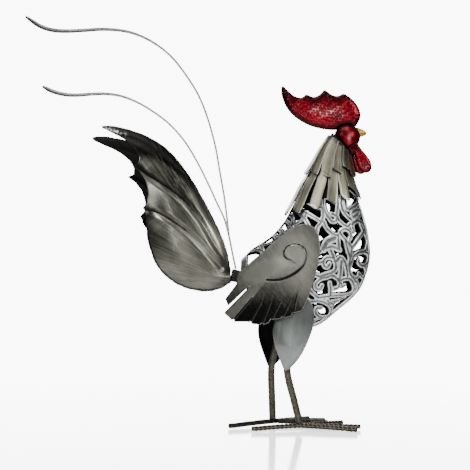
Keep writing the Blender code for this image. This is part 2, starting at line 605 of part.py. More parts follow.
def body_shell():
    """The hollow openwork body and neck: one half with its openings, joined to its mirror image."""
    steps, rounds = 2 * LAST, 7
    us, vs = np.linspace(0, SHELL_LENGTH, steps + 1), np.linspace(0, SHELL_GIRTH, rounds + 1)
    outer = [(u, 0.0) for u in us] + [(SHELL_LENGTH, v) for v in vs[1:-1]]
    outer += [(u, SHELL_GIRTH) for u in us[::-1]] + [(0.0, v) for v in vs[-2:0:-1]]
    flat, triangles, border = filled([outer, *openings()], 13.0)
    count = len(flat)
    station, angle = flat[:, 0] / SHELL_LENGTH * LAST, flat[:, 1] / SHELL_GIRTH * math.pi
    half = np.vstack([body_offset(station, angle, np.full(count, lift)) for lift in (0.0, -SHELL_WALL)])
    seam = (flat[:, 1] < 1e-3) | (flat[:, 1] > SHELL_GIRTH - 1e-3)
    half[np.concatenate([seam, seam]), 1] = 0
    faces = [tuple(t) for t in triangles] + [tuple(t[::-1] + count) for t in triangles]
    faces += [(a + count, b + count, b, a) for a, b in border if not (seam[a] and seam[b])]
    twin = np.arange(2 * count) + 2 * count
    on_seam = np.flatnonzero(np.concatenate([seam, seam]))
    twin[on_seam] = on_seam
    both = faces + [tuple(int(twin[i]) for i in face[::-1]) for face in faces]
    used = sorted({int(i) for face in both for i in face})
    new = {old: i for i, old in enumerate(used)}
    points = np.vstack([half, half * [1, -1, 1]])[used]
    return solid("body_shell", points, [tuple(new[int(i)] for i in f) for f in both], ("silver", SILVER))


def station_at_height(angles, heights):
    """The station at which the body's surface has the given height at each angle, above the breast."""
    many = np.linspace(5, LAST, 400)
    found = []
    for angle, high in zip(angles, heights):
        z = body_surface(many, np.full(400, angle))[:, 2]
        found.append(np.interp(high, z, many))
    return np.array(found)


def hackle(name, shorter, collar, tips, lifts):
    """A tier of strips round the neck, which hang from one collar and stand off the body at their ends."""
    pitch = 2 * math.pi / len(shorter)
    middles = np.repeat((np.arange(len(shorter)) + 0.5) * pitch, 2)
    edges = np.tile((-0.5, 0.5), len(shorter))
    front = (1 - np.cos(middles)) / 2
    tops = station_at_height(middles, collar[0] + (collar[1] - collar[0]) * front)
    ends = station_at_height(middles, tips[0] + (tips[1] - tips[0]) * front + np.repeat(shorter, 2))
    outer, inner = [], []
    for share in np.linspace(0, 1, STRIP_ROWS):
        at = tops + (ends - tops) * share
        away = np.full(len(middles), lifts[0] + (lifts[1] - lifts[0]) * share**STRIP_FLARE)
        step = 1e-3
        ahead = body_offset(at, middles + step, away) - body_offset(at, middles - step, away)
        radius = np.linalg.norm(ahead, axis=1) / (2 * step)
        columns = middles + edges * np.minimum(STRIP_WIDTH / radius, STRIP_SHARE * pitch)
        outer.append(body_offset(at, columns, away + STRIP_SHEET))
        inner.append(body_offset(at, columns, away))
    points = np.vstack(outer + inner)
    width, below = len(middles), len(middles) * STRIP_ROWS

    def corner(row, column, face):
        return row * width + column % width + face * below

    faces = []
    for c in range(width):
        last = STRIP_ROWS - 1 if c % 2 == 0 else 1
        for r in range(last):
            a, b = corner(r, c, 0), corner(r, c + 1, 0)
            d, e = corner(r + 1, c + 1, 0), corner(r + 1, c, 0)
            faces += [(a, b, d, e), (e + below, d + below, b + below, a + below)]
            if r > 0:
                faces += [(a, e, e + below, a + below), (d, b, b + below, d + below)]
        a, b = corner(last, c, 0), corner(last, c + 1, 0)
        faces.append((a, b, b + below, a + below))
        faces.append((corner(0, c + 1, 0), corner(0, c, 0), corner(0, c, 1), corner(0, c + 1, 1)))
    return solid(name, points, faces, ("steel", STEEL))


def ball(name, centre, radii, look, around=16, levels=10, grow=0.0):
    """An ellipsoid with its poles on z."""
    rows = [(0.0, 1.0)] + [
        (math.sin(math.pi * i / levels), math.cos(math.pi * i / levels)) for i in range(1, levels)
    ] + [(0.0, -1.0)]
    points = [(centre[0], 0.0, centre[1] + (radii[2] + grow) * rows[0][1])]
    for ring, high in rows[1:-1]:
        for k in range(around):
            turn = 2 * math.pi * k / around
            points.append((
                centre[0] + (radii[0] + grow) * ring * math.cos(turn),
                (radii[1] + grow) * ring * math.sin(turn),
                centre[1] + (radii[2] + grow) * high,
            ))
    points.append((centre[0], 0.0, centre[1] - radii[2] - grow))
    last = len(points) - 1
    faces = [(0, 1 + k, 1 + (k + 1) % around) for k in range(around)]
    for r in range(levels - 2):
        for k in range(around):
            a, b = 1 + r * around + k, 1 + r * around + (k + 1) % around
            faces.append((a, a + around, b + around, b))
    start = 1 + (levels - 2) * around
    faces += [(start + k, last, start + (k + 1) % around) for k in range(around)]
    return solid(name, points, faces, look)


def cut_by(piece, cutter):
    """Takes the cutter's space out of the piece."""
    cutter.hide_render = True
    cutter.display_type = "WIRE"
    cut = piece.modifiers.new("fit", "BOOLEAN")
    cut.operation = "DIFFERENCE"
    cut.object = cutter


def head():
    """The face, the beak that fits against it, the comb on top and the two wattles below."""
    ball("head", HEAD_CENTRE, HEAD_RADII, ("red", RED))
    beak()
    comb()
    for side, name in ((-1, "wattle_right"), (1, "wattle_left")):
        wattle(name, side)


def beak():
    """A hooked cone, cut to the head's round with a gap."""
    shares = (0.0, 0.35, 0.6, 0.8, 0.93)
    rings, sides = [], 10
    start, root = HEAD_CENTRE[0] + BEAK_START, HEAD_CENTRE[1] + BEAK_RISE
    length = BEAK_REACH - BEAK_START
    for share in shares:
        size = math.sqrt(1 - share**1.6)
        for k in range(sides):
            turn = 2 * math.pi * k / sides
            rings.append((
                start + length * share,
                BEAK_HALF_WIDTH * size * math.cos(turn),
                root - BEAK_DROP * share**1.5 + BEAK_HALF_HEIGHT * size * math.sin(turn),
            ))
    rings.append((start + length, 0.0, root - BEAK_DROP))
    faces = [tuple(range(sides))[::-1]]
    for r in range(len(shares) - 1):
        for k in range(sides):
            n = (k + 1) % sides
            faces.append((r * sides + k, r * sides + n, (r + 1) * sides + n, (r + 1) * sides + k))
    start = (len(shares) - 1) * sides
    faces += [(start + k, start + (k + 1) % sides, len(rings) - 1) for k in range(sides)]
    made = solid("beak", rings, faces, ("gold", GOLD))
    cut_by(made, ball("beak_cutter", HEAD_CENTRE, HEAD_RADII, ("red", RED), 32, 20, GAP))


def comb():
    """The comb: a pillow with a pointed crest and a tail, whose foot follows the head's round with a gap."""
    turns = np.radians((137, 118, 100, 82, 66, 52))
    rise = GAP + 0.35
    foot_x = HEAD_CENTRE[0] + (HEAD_RADII[0] + rise) * np.cos(turns)
    foot_z = HEAD_CENTRE[1] + (HEAD_RADII[2] + rise) * np.sin(turns)
    outline = np.array([*COMB_TOP, *zip(foot_x, foot_z), *COMB_CREST], float)

    def place(points, side):
        bulge = (COMB_HALF_THICK - COMB_RIM / 2) * arch(distance_to(outline, points, True), COMB_REACH)
        return np.stack([points[:, 0], side * (COMB_RIM / 2 + bulge), points[:, 1]], axis=1)

    plate("comb", [outline], place, 5.5, ("red", RED))


def wattle(name, side_y):
    """A lobe that hangs beside the throat. The left one hangs a little further back."""
    outline = np.array(WATTLE, float)
    top, bottom = outline[:, 1].max(), outline[:, 1].min()
    if side_y > 0:
        outline[:, 0] -= WATTLE_LEFT_SWING * (top - outline[:, 1]) / (top - bottom)

    def place(points, side):
        bulge = (WATTLE_HALF_THICK - WATTLE_RIM / 2) * arch(distance_to(outline, points, True), WATTLE_REACH)
        y = side_y * (WATTLE_Y + side * (WATTLE_RIM / 2 + bulge))
        return np.stack([points[:, 0], y, points[:, 1]], axis=1)

    plate(name, [outline], place, 4.5, ("red", RED))


def wing_outline():
    """The shoulder, and the feathers with a slit between each two, as one loop."""
    loop = [*WING_SHOULDER]
    for i, tip in enumerate(WING_TIPS):
        loop += tip
        if i < len(WING_SLIT_TOPS):
            x, z = WING_SLIT_TOPS[i]
            loop += [(x + WING_SLIT / 2, z), (x - WING_SLIT / 2, z)]
    return np.array(loop, float)


def wing_height(points):
    """How far a wing's sheet lies from the middle plane: it touches the body where that is widest."""
    x, z = points[:, 0], points[:, 1]
    bend = (x - WING_BEND_X) ** 2 / (2 * WING_BEND_RADIUS_X)
    bend += np.maximum(z - WING_BEND_Z, 0) ** 2 / (2 * WING_BEND_RADIUS_Z)
    return BODY_HALF_WIDTH + GAP + WING_SHEET / 2 - bend


def wing(name, side_y):
    """A wing: a bent sheet that lies against the body, with cut feathers."""
    plate(name, [wing_outline()], sheet_place(wing_height, WING_SHEET, side_y), WING_FACET, ("steel", STEEL))


def narrowed(line, depth):
    """The line moved to its right by the depth in its middle part, and less towards its ends."""
    along = np.gradient(line, axis=0)
    across = np.stack([along[:, 1], -along[:, 0]], axis=1) / np.linalg.norm(along, axis=1, keepdims=True)
    walk = np.concatenate([[0], np.cumsum(np.linalg.norm(np.diff(line, axis=0), axis=1))])
    from_end = np.minimum(walk / 12.0, (walk[-1] - walk) / 45.0)
    return line - across * (depth * np.clip(from_end, 0, 1))[:, None]


def tail_panel(name, side_y):
    """A cupped panel with three points and a groove from each towards its root."""
    leading, lower = np.array(TAIL_LEADING, float), np.array(TAIL_LOWER, float)
    if side_y > 0:
        lower = narrowed(lower, TAIL_LEFT_NARROWER)
    outline = np.array([*TAIL_LEADING, *[p for run in TAIL_POINTS for p in run], *lower], float)
    grooves = [smooth(groove, 2) for groove in TAIL_GROOVES]

    def height(points):
        cup = np.minimum(
            arch(distance_to(leading, points), TAIL_REACH), arch(distance_to(lower, points), TAIL_REACH * 0.8)
        )
        y = TAIL_ROOT_Y + TAIL_CUP * cup
        for groove in grooves:
            y -= GROOVE_DEPTH * cup * np.clip(1 - distance_to(groove, points) / GROOVE_HALF_WIDTH, 0, 1)
        return y

    sheet = sheet_place(height, TAIL_SHEET, side_y)
    drop = TAIL_LEFT_DROP if side_y > 0 else 0.0
    root = np.array([leading[0, 0], 0, (leading[0, 1] + lower[-1, 1]) / 2])
    turn = np.array([[math.cos(drop), 0, math.sin(-drop)], [0, 1, 0], [math.sin(drop), 0, math.cos(drop)]])

    def place(points, side):
        return (sheet(points, side) - root) @ turn.T + root

    lines = np.vstack([beside(groove, GROOVE_HALF_WIDTH) for groove in grooves])
    clear = inside(outline, lines) & (distance_to(outline, lines, True) > 2.0)
    plate(name, [outline], place, 13.0, ("dark_steel", DARK_STEEL), lines[clear])


def ribbon(name, path, side_y):
    """A plume: a thin strip along a path in the side plane, which widens and twists towards its tip."""
    line = smooth(path, 2)
    along = np.gradient(line, axis=0)
    along /= np.linalg.norm(along, axis=1, keepdims=True)
    share = np.linspace(0, 1, len(line))
    y = side_y * (PLUME_ROOT_Y + (PLUME_TIP_Y - PLUME_ROOT_Y) * share)
    middle = np.stack([line[:, 0], y, line[:, 1]], axis=1)
    normal = np.stack([-along[:, 1], np.zeros(len(line)), along[:, 0]], axis=1)
    level = np.array([0.0, 1.0, 0.0])
    grown = np.clip((share - 0.55) / 0.4, 0, 1)
    width = PLUME_ROOT_WIDTH + (PLUME_TIP_WIDTH - PLUME_ROOT_WIDTH) * grown
    angle = PLUME_TIP_TWIST * grown
    across = np.cos(angle)[:, None] * level + np.sin(angle)[:, None] * normal
    up = np.cos(angle)[:, None] * normal - np.sin(angle)[:, None] * level
    corners = [
        middle + across * (sx * width / 2)[:, None] + up * sz * PLUME_SHEET / 2
        for sx, sz in ((-1, -1), (1, -1), (1, 1), (-1, 1))
    ]
    points = np.stack(corners, axis=1).reshape(-1, 3)
    faces = [(3, 2, 1, 0)]
    for i in range(len(line) - 1):
        for j in range(4):
            k = (j + 1) % 4
            faces.append((i * 4 + j, i * 4 + k, (i + 1) * 4 + k, (i + 1) * 4 + j))
    end = (len(line) - 1) * 4
    faces.append((end, end + 1, end + 2, end + 3))
    return solid(name, points, faces, ("steel", STEEL))


def tail_socket():
    """The block behind the body that the tail is welded to."""
    lx, ly, lz = (size / 2 for size in SOCKET_SIZE)
    c, s = math.cos(SOCKET_TURN), math.sin(SOCKET_TURN)
    chamfer = 1.5
    ring = [
        (-lx, -lz + chamfer), (-lx, lz - chamfer), (-lx + chamfer, lz), (lx - chamfer, lz),
        (lx, lz - chamfer), (lx, -lz + chamfer), (lx - chamfer, -lz), (-lx + chamfer, -lz),
    ]
    turned = [(SOCKET_CENTRE[0] + c * x + s * z, SOCKET_CENTRE[1] - s * x + c * z) for x, z in ring]
    points = [(x, y, z) for y in (-ly, ly) for x, z in turned]
    count = len(ring)
    faces = [tuple(range(count))[::-1], tuple(range(count, 2 * count))]
    faces += [(i, (i + 1) % count, (i + 1) % count + count, i + count) for i in range(count)]
    solid("tail_socket", points, faces, ("black_iron", BLACK_IRON))


def tail():
    """The socket, the two panels and the two plumes."""
    tail_socket()
    tail_panel("tail_panel_right", -1)
    tail_panel("tail_panel_left", 1)
    for name, path, side in (("plume_upper", PLUME_UPPER, -1), ("plume_lower", PLUME_LOWER, 1)):
        ribbon(name, path, side)


def thigh(name, side_y, knee, back):
    """A leaf shaped half shell outside the leg, which follows the wing's bend and stays under the wing."""
    outline = np.array(THIGH_OUTLINE, float) - [back, 0]
    low, high = outline[:, 1].min(), outline[:, 1].max()
    first = abs(knee[1]) + LEG_RADIUS + GAP + THIGH_SHEET / 2

    def height(points):
        last = wing_height(points) - WING_SHEET / 2 - THIGH_UNDER_WING - THIGH_SHEET / 2
        lean = (last - first) * (points[:, 1] - low) / (high - low)
        dome = THIGH_DOME * np.clip((THIGH_DOME_TOP - points[:, 1]) / THIGH_DOME_FADE, 0, 1)
        return first + lean + dome * arch(distance_to(outline, points, True), THIGH_REACH)

    plate(name, [outline], sheet_place(height, THIGH_SHEET, side_y), 8.5, ("pale_steel", PALE_STEEL))


def body_underside(x, y, radius):
    """The lowest height of the body over a round patch of the ground plan."""
    stations, angles = np.linspace(0, 8, 400), np.linspace(math.pi / 2, math.pi, 200)
    station, angle = np.meshgrid(stations, angles, indexing="ij")
    surface = body_surface(station, angle).reshape(-1, 3)
    near = np.hypot(surface[:, 0] - x, surface[:, 1] - abs(y)) < radius
    return surface[near, 2].min()


def toe_path(ankle, reach, start):
    """From a distance off the ankle to the toe's end, arched, with a level stretch at the end."""
    length = math.hypot(*reach)
    direction = np.array(reach) / length
    rise = lambda s: TOE_RADIUS + TOE_ARCH * (1 - (s / (length - TOE_FLAT)) ** 2)
    stops = [*np.linspace(start, length - TOE_FLAT, 5)]
    path = [(*(np.array(ankle) + direction * s), rise(s)) for s in stops]
    return path + [(*(np.array(ankle) + direction * length), TOE_RADIUS)]


def butt_start(reach, others):
    """How far from the ankle a square ended toe starts, so that it clears the toes beside it."""
    least = 0.0
    for other in others:
        between = abs(math.atan2(*reach[::-1]) - math.atan2(*other[::-1]))
        least = max(least, (TOE_RADIUS + GAP + TOE_RADIUS * math.cos(between)) / math.sin(between))
    return least


def foot(side, leg):
    """The outer toe and the back toe are one bent rod; the other two toes butt against it at the ankle."""
    outer, middle, inner = leg["toes"]
    look = ("brown_iron", BROWN_IRON)
    back_part = toe_path(leg["ankle"], leg["back"], TOE_RADIUS)[::-1]
    long_rod = back_part + toe_path(leg["ankle"], outer, TOE_RADIUS)
    rod(f"toe_{side}_outer_and_back", long_rod, TOE_RADIUS, look)
    for name, reach, others in (("middle", middle, (outer, inner)), ("inner", inner, (outer,))):
        path = toe_path(leg["ankle"], reach, butt_start(reach, others))
        rod(f"toe_{side}_{name}", path, TOE_RADIUS, look)


def legs():
    """Two bent rods from the feet to the body, the feet, and the thighs outside them."""
    for side, leg in LEGS.items():
        foot(side, leg)
        ankle, knee, hip = np.array(leg["ankle"]), np.array(leg["knee"]), np.array(leg["hip"])
        foot_top = 2 * TOE_RADIUS + TOE_ARCH + GAP
        tilt = LEG_RADIUS * np.hypot(*(knee[:2] - ankle)) / (knee[2] - foot_top)
        start = (*ankle, foot_top + tilt + 0.1)
        top = body_underside(*hip, LEG_RADIUS * 1.5) - GAP
        bend = [start + (knee - start) * s for s in (0, 0.45, 0.86)]
        bend += [knee + (np.array([*hip, top]) - knee) * s for s in (0.12, 0.5, 1)]
        rod(f"leg_{side}", bend, LEG_RADIUS, ("brown_iron", BROWN_IRON))
        back = 0.0 if side == "right" else LEFT_THIGH_BACK
        thigh(f"thigh_{side}", -1 if side == "right" else 1, knee, back)


def centre_on_base():
    """Moves everything so that the middle of the bounding box's underside is the origin."""
    shown = [piece for piece in bpy.context.scene.objects if not piece.hide_render]
    corners = np.array([tuple(v.co) for piece in shown for v in piece.data.vertices])
    low, high = corners.min(axis=0), corners.max(axis=0)
    shift = -np.array([(low[0] + high[0]) / 2, (low[1] + high[1]) / 2, low[2]])
    for piece in bpy.context.scene.objects:
        piece.location = shift


def main():
    for old in list(bpy.data.objects):
        bpy.data.objects.remove(old)
    body_shell()
    hackle("hackle_lower", LOWER_SHORTER, *HACKLE_LOWER)
    hackle("hackle_upper", UPPER_SHORTER, *HACKLE_UPPER)
    head()
    wing("wing_right", -1)
    wing("wing_left", 1)
    tail()
    legs()
    centre_on_base()


main()
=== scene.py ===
# %% [markdown]
# # An iron rooster, piece by piece
# The sculpture is welded from a cast openwork body, cut and pressed steel sheet, bent rod and a few enamelled
# parts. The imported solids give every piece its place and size. This lesson gives each of them the surface that
# the real metal has: rims and grooves on the scroll bars, hammer marks on the comb, ribs on the toes.
# Lengths are in millimetres in the plane of the side view, with x from the tail socket, and `home` turns them
# into metres in the model's frame.

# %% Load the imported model
import math

import bpy
import numpy as np
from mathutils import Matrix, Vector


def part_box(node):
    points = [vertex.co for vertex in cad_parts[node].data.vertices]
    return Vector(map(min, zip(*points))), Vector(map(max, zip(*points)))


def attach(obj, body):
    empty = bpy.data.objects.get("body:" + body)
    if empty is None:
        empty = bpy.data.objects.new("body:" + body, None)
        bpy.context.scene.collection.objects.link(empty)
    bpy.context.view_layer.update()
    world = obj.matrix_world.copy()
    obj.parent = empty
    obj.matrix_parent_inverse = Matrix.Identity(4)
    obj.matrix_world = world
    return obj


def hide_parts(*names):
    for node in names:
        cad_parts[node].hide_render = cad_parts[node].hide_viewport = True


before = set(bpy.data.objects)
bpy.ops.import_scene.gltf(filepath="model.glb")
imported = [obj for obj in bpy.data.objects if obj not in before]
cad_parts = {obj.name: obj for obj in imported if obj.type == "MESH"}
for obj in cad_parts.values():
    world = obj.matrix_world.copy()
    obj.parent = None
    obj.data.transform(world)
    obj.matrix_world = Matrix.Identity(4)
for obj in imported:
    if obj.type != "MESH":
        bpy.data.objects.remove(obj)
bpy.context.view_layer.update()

# %% [markdown]
# The drawing's zero is the tail socket, and the model's zero is the middle of the base. The head is a plain
# ellipsoid, so the middle of its box says how far the two lie apart.

# %% From the drawing to the model
HEAD_CENTRE = np.array([112.5, 0.0, 289.3])
low, high = (np.array(corner) * 1000 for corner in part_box("head"))
SHIFT = (low + high) / 2 - HEAD_CENTRE
SHIFT[2] = 0.0


def home(points):
    """Drawing points in millimetres as model points in metres."""
    return (np.asarray(points, float) + SHIFT) / 1000


print("shift", SHIFT.round(2))

# %% [markdown]
# The photograph was taken from the rooster's right side, from about 1.3 m away and a little above its feet, so
# the camera looks up by three degrees. The lens follows from the frame: 470 mm of the middle plane fill it.

# %% Camera
DISTANCE, EYE_HEIGHT, FRAME_WIDTH = 1300.0, 126.0, 470.0
TILT = math.atan(65.0 / DISTANCE)
camera_data = bpy.data.cameras.new("camera")
camera_data.sensor_width = 36.0
camera_data.lens = 36.0 * DISTANCE / math.cos(TILT) / FRAME_WIDTH
camera = bpy.data.objects.new("camera", camera_data)
camera.location = home([0.0, -DISTANCE, EYE_HEIGHT])
camera.rotation_euler = (math.pi / 2 + TILT, 0.0, 0.0)
bpy.context.scene.collection.objects.link(camera)
bpy.context.scene.camera = camera
print("lens", round(camera_data.lens, 1))

# %% [markdown]
# A free line, such as a scroll's middle or a feather's edge, is drawn with a few points and a Catmull-Rom curve
# through them. Two measures of such a line are used all through the lesson: how far a point lies from it, and
# whether a point lies inside a closed one. Both take all points at once.


# %% Lines and their distances
def smooth(points, per=8):
    """Points along the Catmull-Rom curve through the given ones: in each stretch a cubic of the share t, whose
    slope at a point is half the way from the point before to the point after."""
    p = np.asarray(points, float)
    ends = np.vstack([2 * p[0] - p[1], p, 2 * p[-1] - p[-2]])
    t = np.linspace(0, 1, per, endpoint=False)[None, :, None]
    a, b, c, d = (ends[i : len(ends) - 3 + i, None] for i in range(4))
    run = 0.5 * (2 * b + (c - a) * t + (2 * a - 5 * b + 4 * c - d) * t**2 + (3 * b - a - 3 * c + d) * t**3)
    return np.vstack([run.reshape(-1, p.shape[1]), p[-1:]])


def walk_of(line):
    """How far along the line each of its points lies."""
    return np.concatenate([[0], np.cumsum(np.linalg.norm(np.diff(line, axis=0), axis=1))])


def evenly(line, count):
    """That many points at even steps along a line in space."""
    walk = walk_of(line)
    at = np.linspace(0, walk[-1], count)
    return np.stack([np.interp(at, walk, line[:, k]) for k in range(3)], axis=1)


def to_unit(vectors):
    """The vectors at length one."""
    return vectors / np.linalg.norm(vectors, axis=-1, keepdims=True)


def in_blocks(measure, points, block=4000):
    """A measure of many points, worked out block by block to spare memory."""
    parts = [measure(points[i : i + block]) for i in range(0, len(points), block)]
    return tuple(np.concatenate(part) for part in zip(*parts))


def near_line(line, points, closed=False):
    """For each point: its distance to a line, the share of the line's length there, and on which side it lies,
    +1 on the left. Each point is dropped onto every stretch, and the nearest foot wins."""
    a = np.asarray(line, float)
    b = np.roll(a, -1, axis=0)
    if not closed:
        a, b = a[:-1], b[:-1]
    along = b - a
    long = np.sqrt((along**2).sum(1))
    start = np.concatenate([[0], np.cumsum(long)])

    def measure(p):
        offset = p[:, None] - a[None]
        share = np.clip((offset * along).sum(-1) / np.maximum(long**2, 1e-12), 0, 1)
        miss = offset - share[..., None] * along
        away = (miss**2).sum(-1)
        best = away.argmin(axis=1)
        rows = np.arange(len(p))
        turn = along[best, 0] * offset[rows, best, 1] - along[best, 1] * offset[rows, best, 0]
        place = (start[best] + share[rows, best] * long[best]) / start[-1]
        return np.sqrt(away[rows, best]), place, np.sign(turn)

    return in_blocks(measure, np.asarray(points, float))


def within(loop, points):
    """Signed distance to a closed loop, above zero inside. Inside means that a ray crosses the loop an odd
    number of times."""
    away, _, _ = near_line(loop, points, closed=True)
    ax, az = loop[:, 0], loop[:, 1]
    bx, bz = np.roll(ax, -1), np.roll(az, -1)
    rise = np.where(bz == az, 1e-9, bz - az)

    def crossings(p):
        x, z = p[:, :1], p[:, 1:]
        hit = ((az > z) != (bz > z)) & (x < ax + (z - az) / rise * (bx - ax))
        return (hit.sum(axis=1) % 2,)

    odd = in_blocks(crossings, np.asarray(points, float))[0]
    return np.where(odd == 1, away, -away)


def ease(low, high, value):
    """0 below low, 1 above high, and between them 3t^2 - 2t^3."""
    t = np.clip((value - low) / (high - low), 0, 1)
    return t * t * (3 - 2 * t)


def arch(distance, reach):
    """A quarter round: 0 at an edge, 1 at the reach and beyond."""
    return np.sqrt(np.maximum(1 - (1 - np.clip(distance / reach, 0, 1)) ** 2, 0))


def noise2(points, size, seed=0):
    """Smooth noise from 0 to 1: random values on a grid, read between with eased shares."""
    chance = np.random.default_rng(seed)
    table = chance.random((64, 64))
    at = np.asarray(points) / size + 1000.0
    cell = np.floor(at).astype(int)
    t = at - cell
    t = t * t * (3 - 2 * t)
    a, b = cell[:, 0] % 64, cell[:, 1] % 64
    c, d = (a + 1) % 64, (b + 1) % 64
    low = table[a, b] + (table[c, b] - table[a, b]) * t[:, 0]
    high = table[a, d] + (table[c, d] - table[a, d]) * t[:, 0]
    return low + (high - low) * t[:, 1]


# %% [markdown]
# Cut sheet and openwork are one idea: a field over a flat grid that is above zero where there is metal.
# Marching squares turns it into faces. Each grid cell looks up which of its corners are metal, and keeps that
# part of itself, cut where the field crosses zero. The faces are then set in space twice, for the front and
# the back of the sheet, and a rim joins them, so the piece is closed.

# %% From a field to a closed sheet
# Corners 0 to 3 run round a cell from its first corner, and 4 to 7 are the crossings on the sides after them.
KEPT = {
    1: [(0, 4, 7)], 2: [(4, 1, 5)], 3: [(0, 1, 5, 7)], 4: [(5, 2, 6)], 5: [(0, 4, 7), (2, 6, 5)], 6: [(4, 1, 2, 6)],
    7: [(0, 1, 2, 6, 7)], 8: [(7, 6, 3)], 9: [(0, 4, 6, 3)], 10: [(4, 1, 5), (7, 6, 3)], 11: [(0, 1, 5, 6, 3)],
    12: [(7, 5, 2, 3)], 13: [(0, 4, 5, 2, 3)], 14: [(4, 1, 2, 3, 7)], 15: [(0, 1, 2, 3)],
}


def grid_points(us, vs):
    """All pairs (u, v), one u after the other."""
    return np.stack(np.meshgrid(us, vs, indexing="ij"), axis=-1).reshape(-1, 2)


def metal_of(field, us, vs):
    """The part of a grid where the field is above zero: points (u, v), and faces as arrays of one size each."""
    nu, nv = field.shape
    field = np.where(np.abs(field) < 1e-6, 1e-6, field)
    number = np.arange(nu * nv).reshape(nu, nv)
    first, second = number[:-1, :], number[1:, :]
    below, above = number[:, :-1], number[:, 1:]
    corners = np.stack([first[:, :-1], second[:, :-1], second[:, 1:], first[:, 1:]], axis=-1).reshape(-1, 4)
    total = nu * nv
    across = total + np.arange((nu - 1) * nv).reshape(nu - 1, nv)
    up = total + (nu - 1) * nv + np.arange(nu * (nv - 1)).reshape(nu, nv - 1)
    sides = np.stack([across[:, :-1], up[1:, :], across[:, 1:], up[:-1, :]], axis=-1).reshape(-1, 4)
    cells = np.hstack([corners, sides])
    grid, flat = grid_points(us, vs), field.reshape(-1)

    def crossing(a, b):
        a, b = a.reshape(-1), b.reshape(-1)
        t = np.clip(flat[a] / np.where(flat[a] == flat[b], 1, flat[a] - flat[b]), 0.08, 0.92)[:, None]
        return grid[a] + (grid[b] - grid[a]) * t

    points = np.vstack([grid, crossing(first, second), crossing(below, above)])
    case = ((flat[corners] > 0) * [1, 2, 4, 8]).sum(axis=1)
    faces = {3: [], 4: [], 5: []}
    for value, shapes in KEPT.items():
        rows = cells[case == value]
        for shape in shapes:
            faces[len(shape)].append(rows[:, list(shape)])
    faces = [np.vstack(kind) for kind in faces.values() if kind]
    used = np.unique(np.concatenate([f.reshape(-1) for f in faces]))
    new = np.zeros(len(points), int)
    new[used] = np.arange(len(used))
    return points[used], [new[f] for f in faces if len(f)]


def border_of(faces, count):
    """The directed edges that only one face has."""
    pairs = np.vstack([np.stack([f, np.roll(f, -1, axis=1)], axis=-1).reshape(-1, 2) for f in faces])
    code, back = pairs[:, 0] * count + pairs[:, 1], pairs[:, 1] * count + pairs[:, 0]
    return pairs[~np.isin(code, back)]


def walled(faces, count):
    """The faces of a closed sheet: the front, the back turned over, and a rim wall along the border."""
    edges = border_of(faces, count)
    rim = np.stack([edges[:, 0] + count, edges[:, 1] + count, edges[:, 1], edges[:, 0]], axis=1)
    return [*faces, *[f[:, ::-1] + count for f in faces], rim]


def cut(loop, step, field):
    """The metal of a field over a grid that covers a loop: points and faces."""
    low, high = loop.min(axis=0) - step, loop.max(axis=0) + step
    xs, zs = (np.arange(a, b + step, step) for a, b in zip(low, high))
    return metal_of(field(grid_points(xs, zs)).reshape(len(xs), len(zs)), xs, zs)


def quads(rows, columns, first=0, closed=True):
    """The quads between rows of points that are numbered one by one; closed rows are rings."""
    here = first + np.arange(rows * columns).reshape(rows, columns)
    after = np.roll(here, -1, axis=1)
    faces = np.stack([here[:-1], after[:-1], after[1:], here[1:]], axis=-1)
    return (faces if closed else faces[:, :-1]).reshape(-1, 4)


def fan(centre, ring, turned=False):
    """Triangles from one point to a ring."""
    fans = np.stack([np.full(len(ring), centre), ring, np.roll(ring, -1)], axis=1)
    return fans[:, ::-1] if turned else fans


def poled(rows, around, turned=True):
    """The faces of closed rings between two poles: the first point and the last one."""
    last = rows * around + 1
    return [quads(rows, around, 1), fan(0, np.arange(1, around + 1), turned),
            fan(last, np.arange(last - around, last), not turned)]


def capped(rows, around):
    """The faces of closed rings with two middles after them, one for each end."""
    total = rows * around
    return [quads(rows, around), fan(total, np.arange(around), True), fan(total + 1, np.arange(total - around, total))]


# %% [markdown]
# Every piece goes into Blender through one door. It takes points and faces, checks by the enclosed volume that
# the faces point outwards, and keeps painted values, such as how rubbed the metal is and where highlights and
# shade are painted, as attributes that the materials read.


# %% Put a piece into the scene
def volume_of(points, faces):
    """Six times the signed volume: the sum over fans of triangles of a dot (b cross c)."""
    total = 0.0
    for f in faces:
        for i in range(1, f.shape[1] - 1):
            a, b, c = points[f[:, 0]], points[f[:, i]], points[f[:, i + 1]]
            total += np.einsum("ij,ij->i", a, np.cross(b, c)).sum()
    return total


